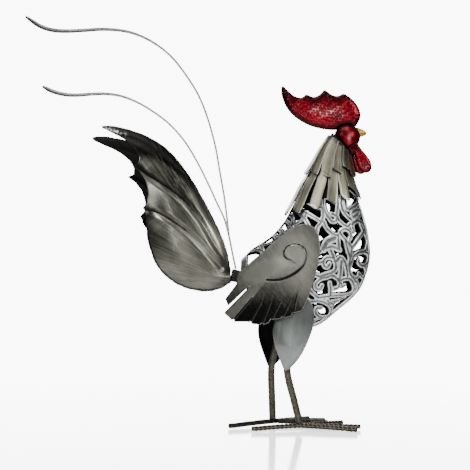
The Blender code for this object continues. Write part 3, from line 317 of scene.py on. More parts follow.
def piece(name, points, faces, finish, slot, nodes=(), uv=None, sharp=40.0, **paint):
    """A mesh object from drawing points, with its finish, the solids it stands for, and painted values; slot is not
    used.
    """
    if volume_of(points, faces) < 0:
        faces = [f[:, ::-1] for f in faces]
    mesh = bpy.data.meshes.new(name)
    sizes = np.concatenate([np.full(len(f), f.shape[1]) for f in faces])
    order = np.concatenate([f.reshape(-1) for f in faces])
    mesh.vertices.add(len(points))
    mesh.vertices.foreach_set("co", home(points).reshape(-1))
    mesh.loops.add(len(order))
    mesh.loops.foreach_set("vertex_index", order.astype(np.int32))
    mesh.polygons.add(len(sizes))
    mesh.polygons.foreach_set("loop_start", np.concatenate([[0], np.cumsum(sizes)[:-1]]).astype(np.int32))
    for label, values in paint.items():
        layer = mesh.attributes.new(label, "FLOAT", "POINT")
        layer.data.foreach_set("value", np.asarray(values, np.float32))
    if uv is not None:
        layer = mesh.uv_layers.new(name="along")
        layer.data.foreach_set("uv", np.asarray(uv, np.float32)[order].reshape(-1))
    mesh.update(calc_edges=True)
    mesh.validate()
    mesh.materials.append(finish)
    mesh.shade_smooth()
    mesh.set_sharp_from_angle(angle=math.radians(sharp))
    made = bpy.data.objects.new(name, mesh)
    bpy.context.scene.collection.objects.link(made)
    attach(made, "root")
    if nodes:
        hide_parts(*nodes)
    print(f"{name}: {len(points)} points, {int((sizes - 2).sum())} triangles")


# %% [markdown]
# ## Finishes
# Three effects come back on many pieces, so each is a node group: the fine streaks that a wire brush leaves,
# the black wash that settles in the hollows, which also takes the painted shade, and the small pits of cast and
# rolled iron. A group only puts out masks and heights. The Principled shader, with its plain numbers, stays in each
# material.


# %% Small helpers for node trees
def group(name, inputs, outputs):
    """An empty node group with float or vector inputs [(name, kind, default)] and outputs [(name, kind)]."""
    tree = bpy.data.node_groups.new(name, "ShaderNodeTree")
    kinds = {"f": "NodeSocketFloat", "v": "NodeSocketVector"}
    for label, kind, default in inputs:
        made = tree.interface.new_socket(label, in_out="INPUT", socket_type=kinds[kind])
        if default is not None:
            made.default_value = default
    for label, kind in outputs:
        tree.interface.new_socket(label, in_out="OUTPUT", socket_type=kinds[kind])
    return tree, tree.nodes.new("NodeGroupInput"), tree.nodes.new("NodeGroupOutput")


def add(tree, kind, settings=None, **inputs):
    """A node with its settings; an input is a number, a tuple, or another node's output."""
    node = tree.nodes.new(kind)
    for label, value in (settings or {}).items():
        setattr(node, label, value)
    for label, value in inputs.items():
        key = int(label[1:]) if label[0] == "_" else label.replace("_", " ")
        if isinstance(value, bpy.types.NodeSocket):
            tree.links.new(value, node.inputs[key])
        else:
            node.inputs[key].default_value = value
    return node


def maths(tree, operation, first, second=0.0, clamp=False):
    """A Math node's output."""
    return add(tree, "ShaderNodeMath", {"operation": operation, "use_clamp": clamp}, _0=first, _1=second).outputs[0]


def ramp(tree, value, low, high):
    """The value stretched from low..high to 0..1, with soft ends."""
    return add(tree, "ShaderNodeMapRange", {"interpolation_type": "SMOOTHSTEP"}, Value=value, From_Min=low,
               From_Max=high).outputs["Result"]


def between(tree, share, first, second):
    """A number between two, by a share."""
    return add(tree, "ShaderNodeMapRange", None, Value=share, To_Min=first, To_Max=second).outputs["Result"]


def noise(tree, place, scale, detail, rough=0.5):
    """Soft noise of a size and detail."""
    made = add(tree, "ShaderNodeTexNoise", None, Vector=place, Scale=scale, Detail=detail, Roughness=rough)
    return made.outputs["Fac"]


def blend(tree, share, first, second):
    """A colour between two, by a share."""
    node = add(tree, "ShaderNodeMix", {"data_type": "RGBA"}, _0=share)
    for slot, value in ((6, first), (7, second)):
        if isinstance(value, bpy.types.NodeSocket):
            tree.links.new(value, node.inputs[slot])
        else:
            node.inputs[slot].default_value = (*value, 1.0)
    return node.outputs[2]


# %% The three shared effects
def brushed_group():
    """Streaks: noise that is stretched along the first axis, in a coarse and a fine size, added."""
    asked = [("Vector", "v", None), ("Fine", "f", 1.0)]
    tree, took, gives = group("brushed", asked, [("Streak", "f"), ("Height", "f")])
    sizes = []
    for scale in ((14.0, 420.0, 420.0), (60.0, 1900.0, 1900.0)):
        stretched = add(tree, "ShaderNodeVectorMath", {"operation": "MULTIPLY"}, _0=took.outputs["Vector"], _1=scale)
        sizes.append(noise(tree, stretched.outputs[0], 1.0, 3.0, 0.6))
    fine = maths(tree, "MULTIPLY", maths(tree, "SUBTRACT", sizes[1], 0.5), took.outputs["Fine"])
    both = maths(tree, "ADD", sizes[0], fine)
    tree.links.new(ramp(tree, both, 0.3, 0.7), gives.inputs["Streak"])
    tree.links.new(both, gives.inputs["Height"])
    return tree


def wash_and_shade_group():
    """Black wash and painted shade: full where the wash and shade input is 1, and wash in patches of noise elsewhere,
    by Amount.
    """
    tree, took, gives = group(
        "black_wash_and_shade", [("Vector", "v", None), ("Hollow", "f", 0.0), ("Amount", "f", 0.3), ("Scale", "f", 90.0)],
        [("Mask", "f")],
    )
    patchy = noise(tree, took.outputs["Vector"], took.outputs["Scale"], 6.0, 0.65)
    patches = maths(tree, "MULTIPLY", ramp(tree, patchy, 0.45, 0.75), took.outputs["Amount"])
    uneven = maths(tree, "MULTIPLY", maths(tree, "SUBTRACT", patchy, 0.5), 0.9)
    ragged = maths(tree, "ADD", took.outputs["Hollow"], uneven)
    hollow = maths(tree, "MULTIPLY", ramp(tree, ragged, 0.25, 0.85), ramp(tree, took.outputs["Hollow"], 0.0, 0.15))
    tree.links.new(maths(tree, "MAXIMUM", patches, hollow), gives.inputs["Mask"])
    return tree


def pitted_group():
    """Small pits and scale: cells of a Voronoi pattern over a slow noise."""
    asked = [("Vector", "v", None), ("Scale", "f", 900.0)]
    tree, took, gives = group("pitted", asked, [("Pits", "f"), ("Height", "f")])
    cells = add(tree, "ShaderNodeTexVoronoi", None, Vector=took.outputs["Vector"], Scale=took.outputs["Scale"])
    slow = noise(tree, took.outputs["Vector"], 260.0, 5.0)
    height = maths(tree, "ADD", maths(tree, "MULTIPLY", cells.outputs["Distance"], 0.5), slow)
    tree.links.new(ramp(tree, height, 0.45, 0.95), gives.inputs["Pits"])
    tree.links.new(height, gives.inputs["Height"])
    return tree


BRUSHED, WASH_AND_SHADE, PITTED = brushed_group(), wash_and_shade_group(), pitted_group()


def use(tree, made, **inputs):
    """A group placed in a material's tree."""
    return add(tree, "ShaderNodeGroup", {"node_tree": made}, **inputs)


print("groups:", [made.name for made in (BRUSHED, WASH_AND_SHADE, PITTED)])

# %% [markdown]
# A metal's colour is what it reflects, so the greys here are reflectances: rubbed silver about 0.9, brushed
# steel from 0.3 to 0.4, the wash and the painted shade about 0.01. The painted values of rubbing and of wash come
# mostly from the shape itself: a rim is rubbed bright, and a groove keeps the wash. They also carry painted
# highlights and painted shade, and the painted tone carries painted light besides the metal's own differences.


# %% Material helpers
def attribute(tree, label):
    """A painted value of the mesh."""
    return add(tree, "ShaderNodeAttribute", {"attribute_name": label}).outputs["Fac"]


def material(name, metallic=1.0, coat=0.0):
    """A new material: its tree, its Principled shader and its Object coordinates."""
    made = bpy.data.materials.new(name)
    made.use_nodes = True
    tree = made.node_tree
    shader = tree.nodes["Principled BSDF"]
    shader.inputs["Metallic"].default_value = metallic
    shader.inputs["Coat Weight"].default_value = coat
    shader.inputs["Coat Roughness"].default_value = 0.08
    place = tree.nodes.new("ShaderNodeTexCoord").outputs["Object"]
    return made, tree, shader, place


def dress(made, shader, colour, rough, height, depth):
    """Colour and roughness on the shader, and a height in metres on its normal."""
    tree = made.node_tree
    tree.links.new(colour, shader.inputs["Base Color"])
    if isinstance(rough, float):
        shader.inputs["Roughness"].default_value = rough
    else:
        tree.links.new(rough, shader.inputs["Roughness"])
    node = add(tree, "ShaderNodeBump", None, Height=height, Distance=depth, Strength=1.0)
    tree.links.new(node.outputs["Normal"], shader.inputs["Normal"])
    return made


# near black for the wash and for painted shade, and rubbed steel, which also serves for painted highlights
BLACK_WASH_AND_SHADE, RUBBED_AND_HIGHLIGHT_STEEL = (0.012, 0.0115, 0.011), (0.74, 0.74, 0.72)


def steel(name, bright, dark, wash=0.25, rough=(0.28, 0.42), turned=0.0, along="object", bite=0.00012, grain=0.4):
    """Brushed steel: streaks between two greys, moved by the painted tone and by painted light, wash and painted shade
    in the hollows, and bright rubbed edges and painted highlights.
    The streaks run along the painted uv map, or turned by some degrees in the side view."""
    made, tree, shader, place = material(name)
    if along == "uv":
        place_streak = tree.nodes["Texture Coordinate"].outputs["UV"]
    else:
        turn = (0.0, math.radians(turned), 0.0)
        place_streak = add(tree, "ShaderNodeMapping", None, Vector=place, Rotation=turn).outputs["Vector"]
    streaks = use(tree, BRUSHED, Vector=place_streak).outputs
    streaky = maths(tree, "MULTIPLY", streaks["Streak"], grain)
    patchy = maths(tree, "MULTIPLY", ramp(tree, noise(tree, place, 55.0, 4.0), 0.3, 0.7), 0.5 * grain)
    mixed = maths(tree, "ADD", maths(tree, "ADD", streaky, patchy), 0.5 - 0.75 * grain)
    mixed = maths(tree, "ADD", mixed, attribute(tree, "tone"), clamp=True)
    mask = use(tree, WASH_AND_SHADE, Vector=place, Hollow=attribute(tree, "hollow"), Amount=wash).outputs["Mask"]
    colour = blend(tree, mask, blend(tree, mixed, dark, bright), BLACK_WASH_AND_SHADE)
    colour = blend(tree, attribute(tree, "rub"), colour, RUBBED_AND_HIGHLIGHT_STEEL)
    rougher = maths(tree, "ADD", between(tree, streaks["Streak"], *rough), maths(tree, "MULTIPLY", mask, 0.2))
    return dress(made, shader, colour, rougher, streaks["Height"], bite)


def silver_casting():
    """The openwork: rims rubbed to silver, dark grey in the grooves, black wash in the corners, and painted shade on
    the inside and under the strips.
    """
    made, tree, shader, place = material("rubbed_silver_casting")
    pits = use(tree, PITTED, Vector=place, Scale=1100.0).outputs
    rub = attribute(tree, "rub")
    grey = blend(tree, pits["Pits"], (0.09, 0.095, 0.095), (0.23, 0.24, 0.24))
    mask = use(tree, WASH_AND_SHADE, Vector=place, Hollow=attribute(tree, "hollow"), Amount=0.2, Scale=160.0).outputs["Mask"]
    # near black for the wash in the corners and for the painted shade inside and under the strips
    colour = blend(tree, mask, grey, (0.008, 0.0085, 0.009))
    colour = blend(tree, ramp(tree, rub, 0.1, 0.7), colour, (0.93, 0.94, 0.94))
    return dress(made, shader, colour, between(tree, rub, 0.45, 0.33), pits["Height"], 0.00012)


def red_enamel(name, deep, light, rough, coat):
    """Candy red: a metallic red under a clear coat, almost black in the hollows and where shade is painted, and pale
    pink where a highlight is painted.
    """
    made, tree, shader, place = material(name, metallic=0.9, coat=coat)
    slow = noise(tree, place, 90.0, 3.0)
    colour = blend(tree, ramp(tree, slow, 0.3, 0.7), deep, light)
    # pale pink: a painted highlight
    colour = blend(tree, attribute(tree, "rub"), colour, (1.0, 0.36, 0.38))
    # almost black red: the hollows and painted shade
    colour = blend(tree, attribute(tree, "hollow"), colour, (0.02, 0.0003, 0.0012))
    return dress(made, shader, colour, between(tree, slow, *rough), slow, 0.0002)


def iron(name, dark, light, rubbed=(0.5, 0.42, 0.28)):
    """Bare iron rod: pitted brown scale, with the high spots rubbed to a warm bright metal."""
    made, tree, shader, place = material(name, metallic=0.9)
    pits = use(tree, PITTED, Vector=place, Scale=700.0).outputs
    mask = use(tree, WASH_AND_SHADE, Vector=place, Hollow=attribute(tree, "hollow"), Amount=0.3, Scale=140.0).outputs["Mask"]
    colour = blend(tree, mask, blend(tree, pits["Pits"], dark, light), (0.012, 0.01, 0.008))
    colour = blend(tree, attribute(tree, "rub"), colour, rubbed)
    return dress(made, shader, colour, between(tree, pits["Pits"], 0.6, 0.38), pits["Height"], 0.0003)


def beak_paint():
    """Ochre gold paint, a little darker in patches."""
    made, tree, shader, place = material("ochre_gold_paint", metallic=0.35, coat=0.3)
    slow = noise(tree, place, 180.0, 4.0)
    colour = blend(tree, slow, (0.26, 0.13, 0.008), (0.62, 0.36, 0.03))
    return dress(made, shader, colour, 0.35, slow, 0.0002)


# %% [markdown]
# The greys below were set against the photograph: the neck strips are warm and pale, the wing is browner
# and darkens towards its feather ends, the tail has an olive cast, and the thighs are cool and light.

# %% The finishes of this rooster
CASTING = silver_casting()
HACKLE_STEEL = steel("hackle_steel", (0.41, 0.39, 0.29), (0.10, 0.094, 0.065), wash=0.1, along="uv", bite=0.00005)
WING_STEEL = steel("wing_steel", (0.29, 0.287, 0.245), (0.012, 0.012, 0.01), wash=0.05, turned=-52,
                   rough=(0.34, 0.4), bite=0.00003, grain=0.14)
TAIL_STEEL = steel("tail_steel", (0.40, 0.395, 0.325), (0.008, 0.008, 0.007), wash=0.08, along="uv",
                   rough=(0.28, 0.36), bite=0.00005, grain=0.22)
THIGH_STEEL = steel("thigh_steel", (0.32, 0.345, 0.33), (0.10, 0.108, 0.103), wash=0.05, turned=80,
                    rough=(0.38, 0.44), bite=0.00002, grain=0.12)
PLUME_STEEL = steel("plume_steel", (0.08, 0.08, 0.075), (0.02, 0.02, 0.018), wash=0.2, along="uv")
COMB_RED = red_enamel("comb_enamel", (0.15, 0.001, 0.007), (0.38, 0.002, 0.016), (0.26, 0.36), 0.08)
FACE_RED = red_enamel("face_enamel", (0.15, 0.001, 0.007), (0.36, 0.002, 0.016), (0.3, 0.38), 0.0)
GOLD = beak_paint()
LEG_IRON = iron("leg_iron", (0.055, 0.049, 0.036), (0.11, 0.1, 0.075), rubbed=(0.22, 0.2, 0.14))
TOE_IRON = iron("toe_iron", (0.016, 0.014, 0.011), (0.055, 0.048, 0.036), rubbed=(0.27, 0.235, 0.16))
SOCKET_IRON = iron("socket_iron", (0.008, 0.008, 0.008), (0.035, 0.033, 0.03))
print("materials:", len(bpy.data.materials))

# %% [markdown]
# ## The openwork body
# The body is a hollow shell. A station is a pair of points, one on the back line and one on the belly line, with
# a half width: round each station the shell is half an ellipse from back to belly. The scroll bars are strokes
# drawn in the side view and dropped onto the shell. A point is metal if it lies within a bar's half width of a
# stroke. Across a bar, the height makes two rims with a groove between them, as the casting has.

# %% The body's surface
BODY_HALF_WIDTH, SHELL_WALL = 42.5, 2.4
HIDDEN_ABOVE = (218.0, 238.0)  # heights at the back and in front, above which the strips cover the shell
BAR_SHADE_FLARE = 1.1  # how much wider the black back of a bar is on each side, a painted shade round each opening
BAR_HALF_WIDTH, SEAM_HALF_WIDTH = 2.4, 2.6
HALF_GAP = 0.02  # from the middle plane to each half
NECK_START, TAIL_START = 9.6, 0.55
BORDER_ANGLE, BORDER_HALF_WIDTH, BORDER_REACH = math.radians(164), 3.2, (3.0, 9.7)
BRIDGES = (3.0, 3.7, 4.4, 5.1, 5.8, 6.5, 7.2, 7.9, 8.6, 9.3)
STATIONS = (
    (6, 166.5, 5, 146.5, 0.20), (17, 177, 15, 132, 0.47), (28, 184, 30, 117, 0.69), (37, 190.5, 50, 106, 0.86),
    (44, 198, 78, 99, 0.96), (50, 206, 103, 116, 1.00), (56, 217, 124.5, 136.5, 0.96), (61, 227, 134.4, 165, 0.88),
    (67, 240, 133.6, 189, 0.75), (74.5, 252, 127.6, 214, 0.62), (81, 264.5, 119, 237, 0.49),
    (87.3, 277.5, 115.2, 256.5, 0.37), (97, 293.5, 113.9, 274.1, 0.252),
)
LAST = len(STATIONS) - 1
STATION_STEP = 240.0 / LAST  # about how far apart the stations lie
TABLE = smooth(np.array(STATIONS, float), 20)


def section(station):
    """Back x z, belly x z and half width at any station, read between the drawn ones."""
    at = np.clip(np.asarray(station, float), 0, LAST) * 20
    low = np.minimum(at.astype(int), len(TABLE) - 2)
    row = TABLE[low] + (TABLE[low + 1] - TABLE[low]) * (at - low)[..., None]
    row[..., 4] *= BODY_HALF_WIDTH
    return row


def body_surface(station, angle):
    """Middle of the section, less cos(angle) of its half chord, and sin(angle) of its half width sideways."""
    row = section(station)
    middle, half = (row[..., 0:2] + row[..., 2:4]) / 2, (row[..., 2:4] - row[..., 0:2]) / 2
    side = middle - np.cos(angle)[..., None] * half
    return np.stack([side[..., 0], np.sin(angle) * row[..., 4], side[..., 1]], axis=-1)


def body_normal(station, angle):
    """Cross product of the two tangents, turned away from the middle line."""
    step = 1e-3
    station = np.clip(station, 2 * step, LAST - 2 * step)
    ahead = body_surface(station + step, angle) - body_surface(station - step, angle)
    sideways = body_surface(station, angle + step) - body_surface(station, angle - step)
    normal = to_unit(np.cross(ahead, sideways))
    row = section(station)
    middle = (row[..., 0:2] + row[..., 2:4]) / 2
    out = body_surface(station, angle) - np.stack([middle[..., 0], 0 * middle[..., 0], middle[..., 1]], axis=-1)
    return normal * np.sign((normal * out).sum(-1, keepdims=True))


def on_body(line):
    """(station, angle) of side view points: the station whose chord passes through the point."""
    many = np.linspace(0, LAST, 1200)
    row = section(many)
    chord = row[:, 2:4] - row[:, 0:2]
    offset = np.asarray(line, float)[:, None] - row[None, :, 0:2]
    length = (chord**2).sum(-1)
    share = (offset * chord).sum(-1) / length
    miss = np.abs(offset[..., 0] * chord[:, 1] - offset[..., 1] * chord[:, 0]) / np.sqrt(length)
    best = (miss + 1e3 * ((share < -0.1) | (share > 1.1))).argmin(axis=1)
    return many[best], np.arccos(1 - 2 * np.clip(share[np.arange(len(best)), best], 0, 1))


print("stations", LAST + 1, "widest", round(float(section(np.linspace(0, LAST, 99))[:, 4].max()), 1))

# %% The strokes of the openwork
STROKES = (
    ((114.5, 177), (121, 185.5), (127, 193), (128, 197.5), (125.5, 202.5), (120.5, 204), (116.5, 201.5),
     (115, 198.5), (116.5, 194.5)),
    ((114.5, 177), (109, 183), (103.5, 189), (102.5, 192), (105, 194.5), (109, 195), (112.5, 192.5),
     (113.5, 188.5), (112, 185)),
    ((98, 247), (100, 229), (100.5, 219), (99.5, 211)),
    ((107, 243), (105, 227), (104, 220.5), (105.5, 214), (109.5, 208.5), (114.5, 204)),
    ((87.5, 255), (88, 236), (86.5, 226), (86.5, 218), (88.5, 211), (91.5, 206), (94.5, 202.5), (98, 203),
     (99, 206.5), (97.5, 209), (94.5, 210)),
    ((99, 210.5), (101, 204), (107, 199), (110.5, 198), (113, 200.5)),
    ((85, 216), (86, 209.5), (84, 202), (80, 197)),
    ((86.5, 202), (88.5, 196.5), (92.5, 192), (97.5, 189), (100.5, 189)),
    ((108.5, 223), (109, 217), (112, 215), (117, 217.5), (121, 221), (123.5, 226.5)),
    ((124.5, 215.5), (118.5, 214), (115, 210.5), (117, 207.5), (121, 210.5)),
    ((114, 175.5), (113, 168.5), (111.5, 162), (111.5, 156), (113.5, 150.5), (117.5, 147.5), (121.5, 149),
     (122, 152)),
    ((112.5, 159), (115.5, 167.5), (120.5, 172), (127.5, 173.5), (132, 171), (132, 165), (129, 160.5),
     (124.5, 160), (121.5, 162.5), (121.5, 165)),
    ((110, 149), (109, 156), (107.5, 162), (104.5, 166.5), (101.5, 167), (98.5, 163.5)),
    ((108, 182), (110.5, 172.5), (112.5, 166.5)),
    ((85.5, 175), (90.5, 177), (95, 177.5), (98.5, 176), (102, 174.5)),
    ((100, 188), (100.5, 182), (101, 175.5)),
    ((92.5, 174), (95, 169), (96.5, 164.5), (98, 160.5), (97.5, 155.5), (93.5, 152.5), (87.5, 150.5), (82.5, 148.5)),
    ((95, 166.5), (89, 167), (85.5, 163), (87, 158.5), (90, 158), (91.5, 161)),
    ((90.5, 148.5), (82.5, 146), (78, 141.5), (78.5, 137.5), (82.5, 136.5), (84.5, 140)),
    ((88.5, 147.5), (94.5, 149.5), (100, 146.5), (102, 142.5), (100.5, 138), (97, 137)),
    ((101.5, 144.5), (107, 146.5), (112.5, 146.5), (116.5, 141.5), (117, 135.5), (112, 131.5), (101.5, 130.5),
     (91, 129.5), (81, 128)),
    ((103.5, 142.5), (105, 139), (107.5, 140.5)),
    ((92, 142.5), (93, 136.5), (93, 131.5)),
    ((73, 124), (80, 125), (87.5, 123.5), (93.5, 119.5), (95, 114.5), (92.5, 110.5), (87.5, 109), (82, 110),
     (78.5, 114), (79.5, 118), (84.5, 118)),
    ((90, 125.5), (95.5, 122), (101.5, 125.5)),
    ((97, 186), (90, 183), (85.5, 175.5)),
    ((103.5, 163.5), (103, 155), (102, 146)),
    ((8, 152), (20, 158), (32, 166), (46, 168), (58, 162), (62, 151), (56, 142), (47, 143), (46, 151)),
    ((25, 182), (27, 174), (27, 164)),
    ((38, 191), (43, 182), (43, 168)),
    ((50, 206), (57, 195), (61, 183), (60, 172), (54, 165)),
    ((58, 217), (68, 205), (74, 192), (73, 180), (66, 171), (60, 168)),
    ((80, 197), (78, 187), (72, 180)),
    ((85.5, 175.5), (79, 171), (70, 168), (61, 160)),
    ((82.5, 148.5), (74, 151), (66, 149), (60, 145)),
    ((73, 124), (66, 129), (60, 136), (57, 143)),
    ((81, 128), (74, 134), (70, 142), (68, 149)),
    ((44, 116), (50, 114.5), (57, 113), (64, 110.5), (70, 113)),
    ((48, 106), (50, 116), (55, 126), (63, 132)),
    ((30, 117), (36, 126), (38, 136), (33, 144), (26, 146), (18, 143)),
    ((38, 132), (46, 134), (57, 128)),
    ((14, 132), (20, 138), (23, 146)),
    ((73, 124), (70, 113), (66, 101)),
    ((37, 166), (35, 156), (34, 144)),
    ((85.5, 163), (78, 161), (70, 159), (62, 154)),
    ((62, 228), (70, 223), (78, 218), (85, 216)),
    ((58, 217), (70, 211), (84, 202)),
    ((67, 240), (76, 235), (86.5, 229)),
    ((6.5, 169), (14, 174), (21.5, 176), (26.5, 174), (25.5, 169.5)),
    ((25, 180), (32.5, 182), (40.5, 186), (45.5, 192.5), (43.5, 196)),
    ((42, 187.5), (49, 193), (55, 199.5), (56.5, 207), (53.5, 210.5)),
    ((55, 199.5), (61.5, 202.5), (67.5, 206.5), (69.5, 212)),
    ((127, 194), (131, 185.5), (129.5, 176.5), (126.5, 173)),
    ((121.5, 152.5), (126.5, 148.5), (130, 154), (127, 160.5)),
    ((116.5, 146.5), (121, 142), (121.5, 135), (117.5, 130)),
    ((94, 124), (101, 125.5), (108, 128.5)),
    ((94.5, 116), (97, 122), (101, 125.5)),
    ((76, 104.5), (81.5, 107.5), (89.5, 109)),
    ((118.5, 202.5), (124.5, 211), (124, 215)),
    ((127, 194), (124, 200.5)),
)
WIDER = {14: 1.1, 16: 1.1, 21: 0.8, 25: 1.7, 26: 1.2, 37: 2.2, 52: 0.8, 53: 0.8, 54: 0.9, 55: 0.8, 56: 0.8, 58: 0.8}


def stroke_points():
    """Dense points of every stroke on the shell, and the bar's half width at each."""
    lines, widths = [], []
    for i, stroke in enumerate(STROKES):
        station, angle = on_body(smooth(stroke, 8))
        lines.append(body_surface(station, angle))
        widths.append(np.full(len(station), BAR_HALF_WIDTH * WIDER.get(i, 1.0)))
    lines.append(body_surface(np.linspace(*BORDER_REACH, 200), np.full(200, BORDER_ANGLE)))
    widths.append(np.full(200, BORDER_HALF_WIDTH))
    for station in BRIDGES:
        lines.append(body_surface(np.full(12, station), np.linspace(BORDER_ANGLE, math.pi, 12)))
        widths.append(np.full(12, BAR_HALF_WIDTH))
    return np.vstack(lines), np.concatenate(widths)


def to_bars(points):
    """For each point, the nearest bar: its half width less the distance, the distance's share of it, and the step
    away from its middle."""
    line, width = stroke_points()

    def measure(p):
        away = np.sqrt(((p[:, None] - line[None]) ** 2).sum(-1))
        inside = width - away
        best = inside.argmax(axis=1)
        rows = np.arange(len(p))
        return inside[rows, best], away[rows, best] / width[best], p - line[best]

    return in_blocks(measure, points, 3000)


# %% Build the two halves of the body
def edges_of_shell(station, angle):
    """Each point of the shell, its share of the nearest bar's half width, the step from the bar's middle, its
    distance to the seam, and how far it lies inside the nearest bar, inside the seam's strip, and inside the plain
    neck, tail end or part behind the strips."""
    here = body_surface(station, angle)
    inset, share, step = to_bars(here)
    back, belly = (body_surface(station, np.full(len(station), a)) for a in (0.0, math.pi))
    seam = np.minimum(np.linalg.norm(here - back, axis=1), np.linalg.norm(here - belly, axis=1))
    plain = np.maximum(station - NECK_START, TAIL_START - station) * STATION_STEP
    hidden = HIDDEN_ABOVE[0] + (HIDDEN_ABOVE[1] - HIDDEN_ABOVE[0]) * (1 - np.cos(angle)) / 2
    plain = np.maximum(plain, here[:, 2] - hidden)
    return here, share, step, seam, inset, SEAM_HALF_WIDTH - seam, plain


def shell_half():
    """One half of the shell on a grid of stations and angles. The height under the rims: a groove down the middle of
    each bar, rounded edges, and a line along the welded seam."""
    open_end = NECK_START + 0.2
    stations = np.concatenate([np.linspace(0, open_end, 298), np.linspace(open_end, LAST, 40)[1:]])
    angles = np.linspace(0, math.pi, 182)
    grid = grid_points(stations, angles)
    field = np.max(edges_of_shell(grid[:, 0], grid[:, 1])[-3:], axis=0)
    flat, faces = metal_of(field.reshape(len(stations), len(angles)), stations, angles)

    here, share, step, seam, inset, strip, plain = edges_of_shell(flat[:, 0], flat[:, 1])
    edge = np.max([inset, strip, plain], axis=0)
    on_bar = ease(-0.6, 0.2, inset - np.maximum(strip, plain))
    off_bar = 1 - on_bar
    groove = on_bar * (1 - ease(0.2, 0.52, share))
    round_off = 1 - arch(np.maximum(edge, 0.0), 1.0)
    seam_line = 1 - ease(0.0, 0.7, seam)
    depth = 0.05 + 0.6 * groove + 0.9 * round_off + 0.25 * seam_line * off_bar
    normal = body_normal(flat[:, 0], flat[:, 1])
    # painted shade: the black back of each bar is widened, so that a dark edge shows round each opening
    shade_flare = BAR_SHADE_FLARE * ease(1.0, 0.0, edge) * on_bar
    step /= np.maximum(np.linalg.norm(step, axis=1, keepdims=True), 1e-6)
    inner = here - normal * (SHELL_WALL - 0.35 * round_off)[:, None] + step * shade_flare[:, None]
    points = np.vstack([here - normal * depth[:, None], inner])
    on_seam = (flat[:, 1] < 1e-6) | (flat[:, 1] > math.pi - 1e-6)
    points[np.concatenate([on_seam, on_seam]), 1] = 0.0
    points[:, 1] = np.maximum(points[:, 1], 0.0) + HALF_GAP

    rims = on_bar * ease(0.38, 0.58, share) * (1 - 0.75 * ease(0.92, 1.0, share))
    worn = 0.6 + 0.4 * ease(0.3, 0.55, noise2(here[:, [0, 2]], 5.0, 71))
    # darker along the upper back and at the tail end
    dark_back = ease(0.95, 0.55, flat[:, 1]) * ease(9.0, 7.5, flat[:, 0])
    undimmed = 1 - 0.85 * np.maximum(dark_back, ease(2.6, 1.4, flat[:, 0]))
    rub = np.clip(rims * worn + off_bar * (0.45 - 0.4 * seam_line), 0, 1) * undimmed
    # wash in the grooves and along the seam; the very edges of the openings are dark, wash with painted shade of their
    # walls
    hollow = np.clip(0.4 * (1 - undimmed) + 0.3 * groove + 0.5 * seam_line * off_bar + 0.8 * (round_off > 0.8), 0, 1)
    # painted shade: the closed shell under the strips is black
    shade_under_strips = ease(0.0, 2.0, plain) * (flat[:, 0] > 4)
    rub, hollow = rub * (1 - shade_under_strips), np.maximum(hollow, shade_under_strips)
    count = len(flat)
    # the inner skin is black all over: a painted shade inside the shell
    return points, walled(faces, count), np.append(rub, np.zeros(count)), np.append(hollow, np.ones(count))


shell_points, shell_faces, shell_rub, shell_wash_and_shade = shell_half()
for name, side in (("body_half_right", -1), ("body_half_left", 1)):
    piece(name, shell_points * [1, side, 1], shell_faces, CASTING, "body_casting", ("body_shell",), sharp=55.0,
          rub=shell_rub, hollow=shell_wash_and_shade)


# %% [markdown]
# ## The neck
# Two tiers of flat steel strips hang round the neck like a hackle, each from a collar band. A strip is straight
# across, so it is drawn between its two edges: a point is a share of the way from the left edge to the right one,
# and a share of the way down. The cut ends are rounded a little, and no two strips are the same length.


# %% Neck strips
STRIP_SHEET, STRIP_WIDTH, STRIP_SHARE, STRIP_FLARE = 1.2, 9.8, 0.96, 0.8
STRIP_WIDENS = 1.8  # from the collar to the end
BAND_ROWS, BAND_AROUND = 6, 96
LOWER_SHORTER = (0, 2, -1.5, 6, 0.5, 3.5, -2, 1, 0, -2.5, 9.5, 2.5, 2, 1, 0, 0)
UPPER_SHORTER = (1, -2.5, 4, 0, -1.5, 3, 0, 0, -2, 5.5, 1.5, -3, 0, -1)


def lifted(station, angle, lift):
    """A point over the body at a height along its normal."""
    return body_surface(station, angle) + body_normal(station, angle) * lift[..., None]


def station_of(angles, heights):
    """The station at which the body has the given height at each angle, above the breast."""
    many = np.linspace(5, LAST, 400)
    found = [np.interp(high, body_surface(many, np.full(400, a))[:, 2], many) for a, high in zip(angles, heights)]
    return np.array(found)


